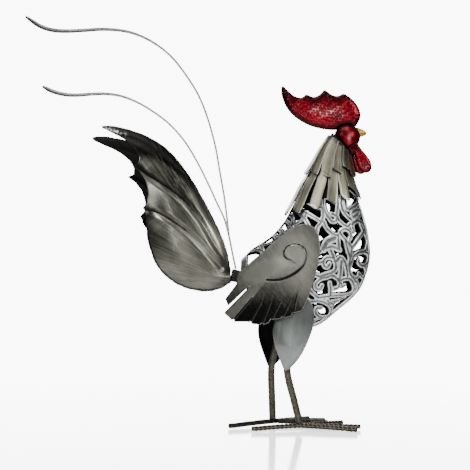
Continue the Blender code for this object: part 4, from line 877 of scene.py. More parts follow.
def neck_tier(name, shorter, collar, tips, lifts, shade, seed):
    """A tier of strips and the band that they hang from. A strip's middle follows one angle, and its edges lie half
    its width to each side, so the strips keep one width while the neck gets wider below."""
    rows, columns, strips = 34, 9, len(shorter)
    chance = np.random.default_rng(seed)
    pitch = 2 * math.pi / strips
    number = np.arange(strips)
    middle = (number + 0.5) * pitch
    shape = (strips, rows, columns)

    def reach(angles, longer=0.0):
        """Stations of the collar and of the ends, each between its height at the back and in front."""
        front = (1 - np.cos(angles)) / 2
        top, end = (heights[0] + (heights[1] - heights[0]) * front for heights in (collar, tips))
        return station_of(angles, top), station_of(angles, end + longer)

    def lift_at(share):
        return lifts[0] + (lifts[1] - lifts[0]) * share**STRIP_FLARE

    def whole(values):
        """One value for each point of each strip."""
        return np.broadcast_to(values, shape).reshape(-1)

    top, end = reach(middle, np.array(shorter))
    down, over = np.linspace(0, 1, rows), np.linspace(0, 1, columns)
    share = down[:, None] * (1 - 0.012 * (np.abs(2 * over - 1) ** 6))[None]
    at = top[:, None, None] + (end - top)[:, None, None] * share[None]
    lift = lift_at(np.broadcast_to(share, shape))
    turned = np.broadcast_to(middle[:, None, None], shape)
    radius = np.linalg.norm(lifted(at, turned + 1e-3, lift) - lifted(at, turned - 1e-3, lift), axis=-1) / 2e-3
    half = 0.5 * np.minimum((STRIP_WIDTH + STRIP_WIDENS * down[:, None]) / radius, STRIP_SHARE * pitch)
    across = (0.5 + (over[None] - 0.5) * (1 - 0.05 * ease(0.94, 1.0, down))[:, None])[None, :, :, None]
    skins = []
    for extra in (0.0, STRIP_SHEET):
        left, right = (lifted(at, turned + way * half, lift + extra) for way in (-1, 1))
        skins.append(left + (right - left) * across)
    edge = np.abs(2 * over - 1)
    camber = 0.1 * (1 - edge**2)
    dip = 0.3 * ease(0.75, 1.0, edge)[None, None, :] + 0.3 * ease(0.97, 1.0, down)[None, :, None]
    skins[1] = skins[1] - to_unit(skins[1] - skins[0]) * (dip + 0.1 - camber)[..., None]
    count = strips * rows * columns
    faces = walled([np.vstack([quads(rows, columns, i * rows * columns, closed=False) for i in range(strips)])], count)

    # painted highlight: some strips are lighter towards their lower ends
    end_highlight_reach = 0.35 * ease(0.55, 0.9, down) * (1 - ease(0.93, 1.0, down))
    rub = whole(np.clip(0.25 * ease(0.86, 1.0, edge)[None, None] + 0.3 * ease(0.975, 1.0, down)[None, :, None], 0, 1))
    # painted shade: the strips are darker up by the collar
    hollow = whole((0.7 * (1 - ease(0.03, 0.2, down)))[None, :, None])
    painted_end_highlight = chance.uniform(0.0, 1.0, strips)[:, None, None] ** 2 * end_highlight_reach[None, :, None]
    tone = whole(chance.uniform(-0.2, 0.2, strips)[:, None, None] + painted_end_highlight - shade)
    length = np.linalg.norm(np.diff(skins[0][:, :, columns // 2], axis=1), axis=-1).sum(axis=1)
    along = length[:, None, None] * down[None, :, None] / 1000 + chance.uniform(0, 3, strips)[:, None, None]
    wide = over[None, None] * 0.008 + 0.05 * number[:, None, None]
    uv = np.stack([whole(along), whole(wide)], axis=1)

    turn = np.linspace(0, 2 * math.pi, BAND_AROUND + 1)
    top, end = reach(turn)
    drop = np.linspace(0, 0.2, BAND_ROWS)
    at = top[None] + (end - top)[None] * drop[:, None]
    lift, wrapped = lift_at(np.broadcast_to(drop[:, None], at.shape)), np.broadcast_to(turn, at.shape)
    band = [lifted(at, wrapped, lift + extra)[:, :-1] for extra in (0.6 * STRIP_SHEET, 0.1)]
    faces += [part + 2 * count for part in walled([quads(BAND_ROWS, BAND_AROUND)], BAND_ROWS * BAND_AROUND)]
    points = np.vstack([part.reshape(-1, 3) for part in (skins[1], skins[0], *band)])
    plain = np.zeros(2 * BAND_ROWS * BAND_AROUND)
    # the back of each strip and the band under the strips are dark: a painted shade
    piece(name, points, faces, HACKLE_STEEL, "hackle_steel", (name,),
          uv=np.vstack([uv, uv, np.stack([plain, plain], axis=1)]), sharp=50.0,
          rub=np.concatenate([rub, 0 * rub, plain]), hollow=np.concatenate([hollow, 0 * hollow + 0.9, plain + 0.9]),
          tone=np.concatenate([tone, tone, plain]))


neck_tier("hackle_lower", LOWER_SHORTER, (266.0, 256.0), (210.0, 229.5), (1.0, 3.4), -0.2, 3)
neck_tier("hackle_upper", UPPER_SHORTER, (290.5, 272.5), (249.5, 249.5), (1.0, 4.9), 0.3, 8)

# %% [markdown]
# ## Head, comb, beak and wattles
# The comb is a cushion of sheet that was hammered before it was painted. Each blow leaves a shallow round dimple,
# so the marks are cells: every cell of a loose grid has one centre, and the height rises with the square of the
# distance from the nearest centre, up to the ridge between two blows.


# %% Hammered cushions
def blows(points, pitch, seed=0.0):
    """0 in the middle of a hammer mark and 1 on the ridges: the squared distance to the nearest loose centre."""
    cell = np.floor(points / pitch)
    nearest = np.full(len(points), 9.0)
    for dx in (-1, 0, 1):
        for dz in (-1, 0, 1):
            c = cell + [dx, dz]
            rx = np.modf(np.sin(c[:, 0] * 127.1 + c[:, 1] * 311.7 + seed) * 43758.5453)[0]
            rz = np.modf(np.sin(c[:, 0] * 269.5 + c[:, 1] * 183.3 + seed) * 43758.5453)[0]
            centre = (c + 0.5 + 0.4 * np.stack([rx, rz], axis=1)) * pitch
            nearest = np.minimum(nearest, ((points - centre) ** 2).sum(axis=1) / pitch**2)
    return np.clip(nearest / 0.5, 0, 1)


def ring_smooth(loop, per=6):
    """The closed Catmull-Rom curve through a loop's points."""
    loop = np.asarray(loop, float)
    padded = np.vstack([loop[-2:], loop, loop[:3]])
    return smooth(padded, per)[2 * per : (2 + len(loop)) * per]


def cushion(name, loop, middle_y, rim, half_thick, reach, step, marks, depth, lit, spread, shaded):
    """A pillow over an outline in the side view: a thin rim, and a rounded rise from it with hammer marks. A highlight
    is painted along the line `lit`, with painted glints on the ridges of the marks, and shade is painted above the
    height `shaded`."""
    flat, faces = cut(loop, step, lambda p: within(loop, p))
    inside = np.maximum(within(loop, flat), 0)
    rise = (half_thick - rim / 2) * arch(inside, reach) + rim / 2 * (0.7 * arch(inside, 1.1) + 0.3)
    from_lit, _, _ = near_line(np.array(lit, float), flat)
    # painted highlight along the line lit, and painted shade above the height shaded
    bright, dark = np.exp(-((from_lit / spread) ** 2)), 0.6 * ease(shaded, shaded + 9, flat[:, 1])
    skins, hollow, rub = [], [], []
    for side, seed in ((1, 0.0), (-1, 5.3)):
        mark = blows(flat, marks, seed)
        half = rise - depth * (1 - mark) * ease(0.4, 2.5, inside)
        skins.append(np.stack([flat[:, 0], middle_y + side * half, flat[:, 1]], axis=1))
        # wash in the hammer marks, darker towards the rim, and the painted shade above
        wash = 0.3 * ease(0.5, 0.0, mark) + 0.85 * ease(0.7 * reach, 0.5, inside) + dark
        hollow.append(np.clip(wash, 0, 1) * (1 - bright))
        # painted glints on the ridges of the marks, and the painted highlight along the line
        painted_glint = 0.1 * ease(0.6, 0.9, mark) * ease(1.0, 2.5, inside) * (1 - dark)
        rub.append(bright * (0.08 + 0.92 * ease(0.4, 0.75, mark)) + painted_glint)
    piece(name, np.vstack(skins), walled(faces, len(flat)), COMB_RED, "red_enamel", (name,), sharp=60.0,
          rub=np.concatenate(rub), hollow=np.concatenate(hollow))


# %% The comb
HEAD_RADII = np.array([13.3, 10.8, 12.8])
COMB_TOP = (
    (48, 341), (46.4, 337), (47.6, 329), (52.5, 318), (61.5, 308.6), (74, 301.3), (86.8, 297.6), (99.5, 296.4),
)
COMB_CREST = (
    (125.8, 308.5), (125.4, 316), (121.4, 323.8), (115, 330), (109.3, 333.2), (105, 331.6), (101.1, 331),
    (96.3, 332.8), (90.3, 337), (87, 334.2), (83.4, 331.4), (78.2, 330), (71.8, 332.6), (69, 330.6), (65.5, 329.2),
    (59, 331.4), (53.3, 336.4),
)
turns = np.radians((137, 118, 100, 82, 66, 52))
sunk = HEAD_RADII - 0.3  # the comb's foot is let into the face as far as this
foot = np.stack([HEAD_CENTRE[0] + sunk[0] * np.cos(turns), HEAD_CENTRE[2] + sunk[2] * np.sin(turns)], axis=1)
comb_loop = ring_smooth(np.vstack([COMB_TOP, foot, COMB_CREST]))
cushion("comb", comb_loop, 0.0, rim=2.4, half_thick=5.2, reach=9.0, step=0.42, marks=2.3, depth=0.26,
        lit=((80, 315.5), (88, 313.5), (104, 313.5)), spread=4.6, shaded=320.0)

# %% [markdown]
# The two wattles hang beside the throat, the left one a little further back. They are smoother than the comb.

# %% The wattles
WATTLE_Y = 6.9
WATTLE = np.array((
    (121.2, 282.8), (123.8, 279.8), (127.8, 274.6), (132, 269.4), (135.2, 264.4), (136.3, 260), (135.8, 256),
    (133.4, 253.3), (130, 252.6), (126.6, 253.8), (123.8, 256.6), (121.4, 261.2), (119.8, 266.6), (118.8, 271.6),
    (115.2, 271.8), (112.8, 275.4), (114.6, 279.0),
))
for name, side, swing in (("wattle_right", -1, 0.0), ("wattle_left", 1, 4.0)):
    hung = WATTLE.copy()
    hung[:, 0] -= swing * (WATTLE[:, 1].max() - WATTLE[:, 1]) / np.ptp(WATTLE[:, 1])
    cushion(name, ring_smooth(hung), side * WATTLE_Y, rim=1.2, half_thick=2.6, reach=5.0, step=0.3, marks=2.1,
            depth=0.14, lit=((130, 259), (131, 260)), spread=2.5, shaded=268.0)

# %% [markdown]
# The face is a plain ball under the enamel, and the beak a hooked cone: its section is an ellipse that shrinks
# with the share of the length, and its middle sinks towards the tip. The beak's foot follows the face's round.


# %% The face and the beak
BEAK_HALF, BEAK_HEIGHT, BEAK_TIP = (4.6, 5.2), 294.3, (132.2, 0.0, 293.0)


def ball_points(rings, around):
    """Unit vectors on a ball: the sine and cosine of the height angle, and the turn."""
    high = np.linspace(0, math.pi, rings)[1:-1, None]
    turn = np.linspace(0, 2 * math.pi, around, endpoint=False)[None]
    side = np.stack([np.sin(high) * np.cos(turn), np.sin(high) * np.sin(turn), np.cos(high) + 0 * turn], axis=-1)
    return np.vstack([[[0.0, 0.0, 1.0]], side.reshape(-1, 3), [[0.0, 0.0, -1.0]]])


def face_and_beak():
    """The ball of the face and the beak in front of it."""
    rings, around = 60, 96
    ball = ball_points(rings, around)
    dents = 0.12 * blows(ball[:, [0, 2]] * 13, 4.0)
    points = HEAD_CENTRE + ball * (HEAD_RADII - (0.12 - dents)[:, None])
    x, y, z = ball[:, 0], np.abs(ball[:, 1]), ball[:, 2]
    # painted highlight on the side of the face, and painted shade towards its back, its top, and where it turns away
    # from the side
    rub = 0.6 * np.exp(-(((x - 0.1) / 0.12) ** 2 + ((z + 0.1) / 0.3) ** 2)) * (y > 0.5)
    hollow = np.clip(0.85 * ease(0.1, -0.6, x) + 0.6 * ease(0.0, 0.7, z) + 0.5 * ease(0.8, 0.3, y), 0, 0.95)
    piece("head", points, poled(rings - 2, around), FACE_RED, "red_enamel", ("head",), rub=rub, hollow=hollow)

    grown = HEAD_RADII + 0.32

    def face_x(y, z):
        """How far forward the round of the face lies, a little grown."""
        room = 1 - (y / grown[1]) ** 2 - ((z - HEAD_CENTRE[2]) / grown[2]) ** 2
        return HEAD_CENTRE[0] + grown[0] * np.sqrt(np.maximum(room, 0))

    share = np.linspace(0, 0.985, 40)[:, None]
    size = np.sqrt(1 - share**1.6)
    turn = np.linspace(0, 2 * math.pi, 48, endpoint=False)
    y = BEAK_HALF[0] * size * np.cos(turn)
    z = BEAK_HEIGHT - 1.3 * share**1.5 + BEAK_HALF[1] * size * np.sin(turn)
    x = np.maximum(119.0 + 13.2 * share, face_x(y, z) + 0.02 * share)
    body = np.stack([x, y, z], axis=-1)
    inner = np.linspace(0.0, 1.0, 8)[1:-1, None]
    y, z = BEAK_HALF[0] * inner * np.cos(turn), BEAK_HEIGHT + BEAK_HALF[1] * inner * np.sin(turn)
    foot = np.stack([face_x(y, z), y, z], axis=-1)
    middle = [face_x(0.0, BEAK_HEIGHT), 0.0, BEAK_HEIGHT]
    points = np.vstack([[middle], foot.reshape(-1, 3), body.reshape(-1, 3), [BEAK_TIP]])
    zeros = np.zeros(len(points))
    piece("beak", points, poled(len(inner) + len(share), len(turn), turned=False), GOLD, "beak_paint", ("beak",),
          sharp=35.0, rub=zeros, hollow=zeros)


face_and_beak()

# %% [markdown]
# ## Sheet steel: wings, thighs and tail
# A bent sheet is a height over the side view. The height says how far the sheet lies from the middle plane, and
# half the thickness to each side along the normal makes it a sheet with two faces. `sheet` builds any of them
# from an outline, a height, and the values that are painted on it.


# %% Bent sheet
def sheet(name, loop, step, field, height, thick, side, finish, slot, paint, relief, place=None, uv=None):
    """A sheet over the side view; side is -1 for the right of the rooster and +1 for its left."""
    flat, faces = cut(loop, step, field)
    here, near = height(flat), 0.1
    slope_x, slope_z = ((height(flat + way) - here) / near for way in ([near, 0.0], [0.0, near]))
    normal = to_unit(np.stack([-slope_x, np.ones(len(flat)), -slope_z], axis=1))
    middle = np.stack([flat[:, 0], here, flat[:, 1]], axis=1)
    edge = np.maximum(field(flat), 0)
    half = thick / 2 * (0.45 + 0.55 * arch(edge, 0.9))
    raised = relief(flat)
    outer, inner = (middle + normal * (raised + way * half)[:, None] for way in (1, -1))
    points = np.vstack([outer, inner]) * [1, side, 1]
    if place:
        points = place(points)
    values = {key: np.concatenate(both) for key, both in paint(flat, edge).items()}
    along = None if uv is None else np.tile(uv(flat), (2, 1))
    piece(name, points, walled(faces, len(flat)), finish, slot, (name,), uv=along, sharp=50.0, **values)


# %% [markdown]
# A wing is cut from one sheet with eight feathers. Each feather is twisted a little, so its front edge stands
# over the one behind, and a scroll is pressed into the shoulder, with a step along it and wash in its groove.

# %% The wings
WING_SHEET = 1.5
WING_BEND_X, WING_BEND_RADIUS_X = 76.5, 130.0
WING_BEND_Z, WING_BEND_RADIUS_Z = 160.0, 220.0
WING_SHOULDER = (
    (1.3, 141.5), (3.5, 152.5), (12.4, 160.4), (26.3, 172.2), (40.1, 184.4), (49.4, 191.4), (57.5, 197), (66, 199.6),
    (74, 198), (79.6, 192.4), (82, 183), (81.3, 167.1), (77.1, 148.6), (71.5, 130.2),
)
WING_TIPS = np.array((
    ((64.5, 115.6), (56.6, 113.2)), ((55.4, 110.6), (46.2, 108.2)), ((44.9, 108.0), (35.6, 107.0)),
    ((34.4, 104.6), (26.6, 101.6)), ((25.4, 102.0), (17.2, 102.6)), ((12.6, 104.8), (-1.2, 104.6)),
    ((-3.0, 106.6), (-10.8, 113.2)), ((-6.6, 121.0), (-9.6, 127.2)),
))
WING_SLIT_TOPS = np.array((
    (60.4, 133.4), (55.0, 129.0), (45.2, 126.8), (35.6, 126.2), (27.4, 127.4), (18.6, 130.0), (13.2, 138.6),
))
WING_SCROLL = (
    (31, 145.7), (38.5, 145.4), (47.5, 146.9), (58.3, 152.3), (66.4, 159.8), (69.6, 169), (66, 177.2), (58.6, 180),
    (51.2, 178), (47.2, 172.7), (48.4, 167.3), (53.5, 164.5),
)
smooth_shoulder = smooth(WING_SHOULDER, 8)
wing_loop = np.vstack([smooth_shoulder, WING_TIPS.reshape(-1, 2)])
slit_ends = (WING_TIPS[:-1, 1] + WING_TIPS[1:, 0]) / 2
scroll_line = smooth(WING_SCROLL, 10)


def wing_height(points):
    """A bend towards the body in front, behind and above, as two parabolas."""
    bend = (points[:, 0] - WING_BEND_X) ** 2 / (2 * WING_BEND_RADIUS_X)
    bend = bend + np.maximum(points[:, 1] - WING_BEND_Z, 0) ** 2 / (2 * WING_BEND_RADIUS_Z)
    return BODY_HALF_WIDTH + 0.3 + WING_SHEET / 2 - bend


def slit_shares(points):
    """For each slit: the distance to its line, drawn on upwards, and the side, +1 towards the tail."""
    found = []
    for top, end in zip(WING_SLIT_TOPS, slit_ends):
        along = (top - end) / np.linalg.norm(top - end)
        offset = points - end
        across = offset[:, 0] * along[1] - offset[:, 1] * along[0]
        up = offset @ along - np.linalg.norm(top - end)
        found.append((across, up))
    return found


def wing_field(points):
    """Metal inside the outline, but for the rear slit, which widens towards the feather ends, and a short notch
    at the end of the others, where the feathers overlap."""
    field = within(wing_loop, points)
    for i, ((across, up), top, end) in enumerate(zip(slit_shares(points), WING_SLIT_TOPS, slit_ends)):
        length = np.linalg.norm(top - end)
        half = 0.35 + 0.55 * np.clip(-up / length, 0, 1)
        highest = up if i > 5 else up + length - 1.5
        field = np.minimum(field, np.maximum(np.abs(across) - half, highest))
    return field


def louvre(points):
    """Across each feather, from its front edge to its back edge, 1 to -1, fading out above the slits."""
    twist = sum(np.exp(-((across / 4.2) ** 2)) * np.sign(-across) * ease(10.0, -12.0, up)
                for across, up in slit_shares(points))
    return np.clip(twist, -1, 1)


def wing_relief(points):
    """Feather twist, the scroll's groove, deep on its lower stretch, and a step along it."""
    away, place, side = near_line(scroll_line, points)
    groove = np.exp(-((away / (1.3 - 0.7 * ease(0.3, 0.5, place))) ** 2))
    step = side * np.exp(-((away / 7.0) ** 2)) * ease(0.0, 0.06, place) * ease(0.3, 1.2, away)
    return 0.55 * louvre(points) - 0.75 * groove + 0.4 * step


def wing_paint(points, edge):
    """Rubbed edges, wash in the scroll's groove, widened on its lower stretch by painted shade, painted shade along
    the slits where the feathers overlap, a painted highlight beside each slit, dark feather ends but for the two
    rearmost, and a painted highlight behind the scroll."""
    away, place, _ = near_line(scroll_line, points)
    slits = slit_shares(points)
    near_slit = np.min([np.abs(across) + 3.0 * np.maximum(up + 2, 0) for across, up in slits], axis=0)
    # painted highlight: a thin light line beside each slit
    lit_side = np.max([np.exp(-(((across - 0.9) / 0.4) ** 2)) * ease(0, -4, up) for across, up in slits], axis=0)
    rub = 0.3 * (1 - ease(0.1, 0.8, edge)) + 0.1 * lit_side
    # wash in the scroll's groove, widened on its lower stretch by painted shade beside the step
    width = 1.7 - 1.25 * ease(0.3, 0.5, place)
    jagged = ease(0.5, 0.62, place) * noise2(points, 1.1, 41) * np.exp(-((away / 1.4) ** 2))
    hollow = np.exp(-((away / width) ** 2)) * (1 - 0.3 * ease(0.4, 0.6, place)) + 0.8 * jagged
    rear, last = ease(0.5, -0.5, slits[5][0]), ease(0.5, -0.5, slits[6][0])
    hollow = hollow + 0.8 * rear * ease(1.3, 0.5, edge)
    # painted shade along the slits, where the feathers overlap
    hollow = hollow + 0.45 * np.exp(-((near_slit / 2.0) ** 2)) + 0.9 * np.exp(-((near_slit / 0.55) ** 2))
    x, z = points[:, 0], points[:, 1]
    ends = 1 - ease(99.0, 158.0, z + 0.1 * (x - 30))
    # painted highlight: a broad light patch behind the scroll
    glow = np.exp(-(((x - 28) / 19) ** 2 + ((z - 155 - 0.35 * (x - 28)) / 9) ** 2))
    shade = ease(4.0, 14.0, away) * ease(48, 74, x) * ease(195, 170, z)
    tone = 1.2 * glow + 0.12 * ease(56, 78, x) - 0.05 * shade
    tone = tone - 0.68 * ends * (1 - rear) + 0.6 * ends * (rear - last) - 0.3 * ends * last
    zero = np.zeros(len(points))
    # the inner side is painted darker: a painted shade
    return {"rub": (rub, zero), "hollow": (np.clip(hollow, 0, 1), zero + 0.8), "tone": (tone, tone - 0.5)}


for name, side in (("wing_right", -1), ("wing_left", 1)):
    sheet(name, wing_loop, 0.62, wing_field, wing_height, WING_SHEET, side, WING_STEEL, "wing_steel", wing_paint,
          relief=wing_relief)

# %% [markdown]
# The thighs are pressed leaves of paler steel outside the legs, domed low down, with a soft upright fold.

# %% The thighs
THIGH_SHEET = 1.5
LEG_Y, LEG_RADIUS = 25.0, 3.1
THIGH_OUTLINE = (
    (49.9, 57.4), (46.6, 60.4), (42.6, 71), (38.6, 83), (36.8, 95), (38.5, 106), (44, 117), (52, 125.5), (62, 129.5),
    (70, 128), (75.2, 120), (76.2, 109), (75, 99), (72.4, 90.6), (67.2, 78.4), (61, 67.8), (53.6, 59.8),
)


def thigh(name, side, back):
    """One thigh; the left one sits further back."""
    loop = ring_smooth(THIGH_OUTLINE, 5) - [back, 0]
    low, high = 57.4, 129.5
    first = LEG_Y + LEG_RADIUS + 0.3 + THIGH_SHEET / 2

    def height(points):
        last = wing_height(points) - WING_SHEET / 2 - 2.3 - THIGH_SHEET / 2
        lean = (last - first) * (points[:, 1] - low) / (high - low)
        dome = 7.5 * np.clip((118.0 - points[:, 1]) / 36.0, 0, 1)
        away, _, _ = near_line(loop, points, closed=True)
        return first + lean + dome * arch(away, 16.0)

    def fold(points):
        """How far in front of the upright fold a point lies."""
        return points[:, 0] + back - (53 + (points[:, 1] - 57) * 0.07)

    def relief(points):
        return 0.25 * np.exp(-((fold(points) / 4.0) ** 2)) * ease(60, 80, points[:, 1]) - 0.3

    def paint(points, edge):
        rub = 0.35 * (1 - ease(0.1, 1.0, edge))
        # painted shade: darker towards the top, where the thigh goes under the wing, here and in the tone below; a
        # faint painted highlight along the fold
        hollow = 0.15 * ease(104, 126, points[:, 1])
        tone = 0.05 * np.exp(-(((fold(points) - 2) / 6.0) ** 2)) + 0.3 - 0.95 * ease(66, 122, points[:, 1])
        zero = np.zeros(len(points))
        # the inner side is painted dark: a painted shade
        return {"rub": (rub, zero), "hollow": (hollow, zero + 1.0), "tone": (tone, zero - 0.8)}

    sheet(name, loop, 0.6, lambda p: within(loop, p), height, THIGH_SHEET, side, THIGH_STEEL, "thigh_steel", paint,
          relief=relief)


thigh("thigh_right", -1, 0.0)
thigh("thigh_left", 1, 13.5)

# %% [markdown]
# Each tail panel is one cupped sheet with three long points. From each point a crease runs towards the root, and
# between the creases the metal swells a little. The torch left ragged edges, burnt black at the points.

# %% The tail panels
TAIL_SHEET = 1.4
TAIL_REACH, TAIL_ROOT_Y, TAIL_DEPTH = 36.0, 2.2, 20.0
GROOVE_DEPTH, GROOVE_HALF_WIDTH = 2.0, 4.5
TAIL_ROOT = (6.0, 140.0)  # the streaks spread from here
TAIL_HIGHLIGHTS = (  # painted highlights: a line, its half width and its strength
    (((-92, 264), (-84, 257)), 4.5, 1.0), (((-84, 240), (-80, 222)), 6.0, 1.2), (((-82, 206), (-74, 196)), 6.5, 1.1),
    (((-22, 213), (-14, 196), (-8, 180)), 3.2, 1.3), (((-29, 201), (-16, 183), (-6, 166)), 3.6, 1.1),
)
TAIL_LEADING = (
    (-4.1, 154.5), (-7.5, 174), (-15, 194), (-28, 220.5), (-45, 249.6), (-64.5, 274), (-84.1, 288), (-104, 296),
    (-121.5, 300), (-132.5, 300.3),
)
TAIL_POINTS = (
    (-133.6, 298.6), (-130, 295.6), (-118.7, 290), (-106.8, 283), (-98.2, 275), (-94.6, 267), (-95.6, 261.2),
    (-101.9, 259), (-99.2, 256.6), (-94.6, 252.6), (-88.4, 243.6), (-85.8, 232), (-87, 222.6), (-91.5, 217),
    (-89.8, 214),
)
TAIL_LOWER = (
    (-88.9, 210), (-88.5, 200.2), (-87.1, 185.4), (-83.1, 171.5), (-76.2, 157.7), (-64.3, 145.8), (-49.5, 137.9),
    (-30.5, 134.4), (-14.5, 137), (-4.1, 143.6),
)
TAIL_GROOVES = (
    ((-111, 288.5), (-94, 282.5), (-71, 268), (-51.5, 251), (-37.6, 236), (-21.8, 213), (-11, 188)),
    ((-100.5, 258.6), (-84, 247.5), (-58, 230), (-36, 207), (-18, 177), (-7, 160)),
    ((-89.5, 216.2), (-74.5, 211), (-51, 196), (-34, 181), (-14, 158)),
)
leading, lower = smooth(TAIL_LEADING, 6), smooth(TAIL_LOWER, 6)
grooves = [smooth(groove, 8) for groove in TAIL_GROOVES]


def narrowed(line, depth):
    """The line moved to its right by the depth, but for its two ends: points less the unit normal times the depth."""
    along = to_unit(np.gradient(line, axis=0))
    across = np.stack([along[:, 1], -along[:, 0]], axis=1)
    walk = walk_of(line)
    return line - across * (depth * np.clip(np.minimum(walk / 12.0, (walk[-1] - walk) / 45.0), 0, 1))[:, None]


def tail_height(points, lower):
    """The cup: a quarter round from the leading and from the lower edge, and shallow creases."""
    from_leading, _, _ = near_line(leading, points)
    from_lower, _, _ = near_line(lower, points)
    cup = np.minimum(arch(from_leading, TAIL_REACH), arch(from_lower, 0.8 * TAIL_REACH))
    y = TAIL_ROOT_Y + TAIL_DEPTH * cup
    for groove in grooves:
        away, _, _ = near_line(groove, points)
        y = y - GROOVE_DEPTH * cup * np.clip(1 - away / GROOVE_HALF_WIDTH, 0, 1)
    return y


def tail_relief(points):
    """Soft valleys along the creases, and hammered unevenness."""
    raised = 0.2 * (noise2(points, 7.0, 11) - 0.5)
    for groove in grooves:
        away, place, _ = near_line(groove, points)
        raised = raised - 0.35 * np.exp(-((away / 0.9) ** 2)) * (1 - 0.6 * place)
    return raised


def glow_along(line, points, width):
    """1 on a line, fading to its sides with the square of the distance, and towards its ends."""
    away, place, _ = near_line(np.array(line, float), points)
    return np.exp(-((away / width) ** 2)) * ease(-0.12, 0.12, place) * ease(1.12, 0.88, place)


def about_root(points):
    """The distance from the root, and the turn about it."""
    offset = points - TAIL_ROOT
    return np.linalg.norm(offset, axis=1), np.arctan2(offset[:, 1], -offset[:, 0])


def tail_paint(points, edge, lower):
    """Wash in the creases towards the notches, with painted shade on one side of each, a dark leading band, lower rim
    and points, and painted highlights beside each notch and near the root."""
    x, z = points[:, 0], points[:, 1]
    crease_wash_and_shade = np.zeros(len(points))
    for groove, thin in zip(grooves, (0.7, 1.0, 0.9)):
        away, place, side = near_line(groove, points)
        fade = 1 - ease(0.25, 0.75, place)
        ragged = ease(0.55, 0.75, noise2(points, 1.3, 51)) * (0.7 - 0.4 * place)
        crease_wash_and_shade += thin * np.exp(-(away**2)) * np.maximum(fade, ragged)
        # painted shade on one side of each crease
        crease_wash_and_shade += 0.6 * thin * np.exp(-(((away - 1.5) / 4.5) ** 2)) * fade * (side > 0)
    from_leading, _, _ = near_line(leading, points)
    from_lower, _, _ = near_line(lower, points)
    _, _, leading_side = near_line(grooves[1], points)
    band = ease(22.0, 12.0, from_leading) * ease(-24, -52, x)
    tips = ease(-72, -112, x)
    border = ease(4.0, 0.5, from_lower) * ease(-20, -45, x)
    keel = ease(3.4, 2.0, edge) * ease(12, 25, from_leading) * ease(203, 193, z)
    upper = ease(-30, -65, x) * (leading_side > 0)
    # painted highlights along the lines of the table
    light = sum(strength * glow_along(line, points, width) for line, width, strength in TAIL_HIGHLIGHTS)
    radius, turn = about_root(points)
    streaks = noise2(np.stack([turn * 60, radius / 14], axis=1), 1.0, 61)
    # a broken pale streak near the top point
    pale_streak = glow_along(((-130, 297), (-118, 293), (-109, 290)), points, 1.5)
    pale_streak = pale_streak * ease(0.35, 0.7, noise2(points, 1.6, 52))
    tone = 0.6 * light + 0.1 * (streaks - 0.5) - 0.2 * band - 0.3 * tips - 0.3 * border - 0.16 * upper - 0.14
    rub = np.clip(0.3 * pale_streak + 0.1 * (1 - tips) * (1 - ease(0.1, 0.8, edge)) * noise2(points, 3.0, 21), 0, 1)
    hollow = crease_wash_and_shade + 0.25 * band + 0.45 * tips * (1 - pale_streak) + 0.7 * border * ease(1.6, 0.6, edge) + 0.85 * keel
    # the inner side is painted dark: a painted shade
    return {"rub": (rub, 0 * rub), "hollow": (np.clip(hollow, 0, 1), 0 * rub + 1), "tone": (tone, tone - 0.9)}


def tail_along(points):
    """Metres from the root and the turn about it, so that the streaks run from root to tip."""
    radius, turn = about_root(points)
    return np.stack([radius / 1000, turn * 0.09], axis=1)


def tail_panel(name, side, drop, depth):
    """One panel; the left one was welded on lower, by a turn about the root, and its lower edge was cut further in."""
    root = np.array([-4.9, 0, 149.05])
    turn = np.array([[math.cos(drop), 0, -math.sin(drop)], [0, 1, 0], [math.sin(drop), 0, math.cos(drop)]])
    edge_below = narrowed(lower, depth)
    loop = np.vstack([leading, TAIL_POINTS, edge_below])

    def field(points):
        bite = 0.9 * noise2(points, 2.4, 5) + 0.5 * noise2(points, 0.9, 6)
        return within(loop, points) - bite * 0.5

    sheet(name, loop, 0.75, field, lambda p: tail_height(p, edge_below), TAIL_SHEET, side, TAIL_STEEL, "tail_steel",
          lambda p, edge: tail_paint(p, edge, edge_below), place=lambda p: (p - root) @ turn.T + root,
          relief=tail_relief, uv=tail_along)


tail_panel("tail_panel_right", -1, 0.0, 0.0)
tail_panel("tail_panel_left", 1, math.radians(4.3), 6.5)

# %% [markdown]
# The plumes are two thin strips that were cut with shears and bent by hand. They start narrow in the socket, and
# widen and twist towards the tip.


# %% The plumes
PLUME_HALF_THICK = 1.05
PLUME_SECTION = np.array([  # shares of the half width and of the half thickness
    (-1, -0.5), (-0.96, -1), (-0.5, -1), (0, -1), (0.5, -1), (0.96, -1), (1, -0.5),
    (1, 0.5), (0.96, 1), (0.5, 1), (0, 1), (-0.5, 1), (-0.96, 1), (-1, 0.5),
])


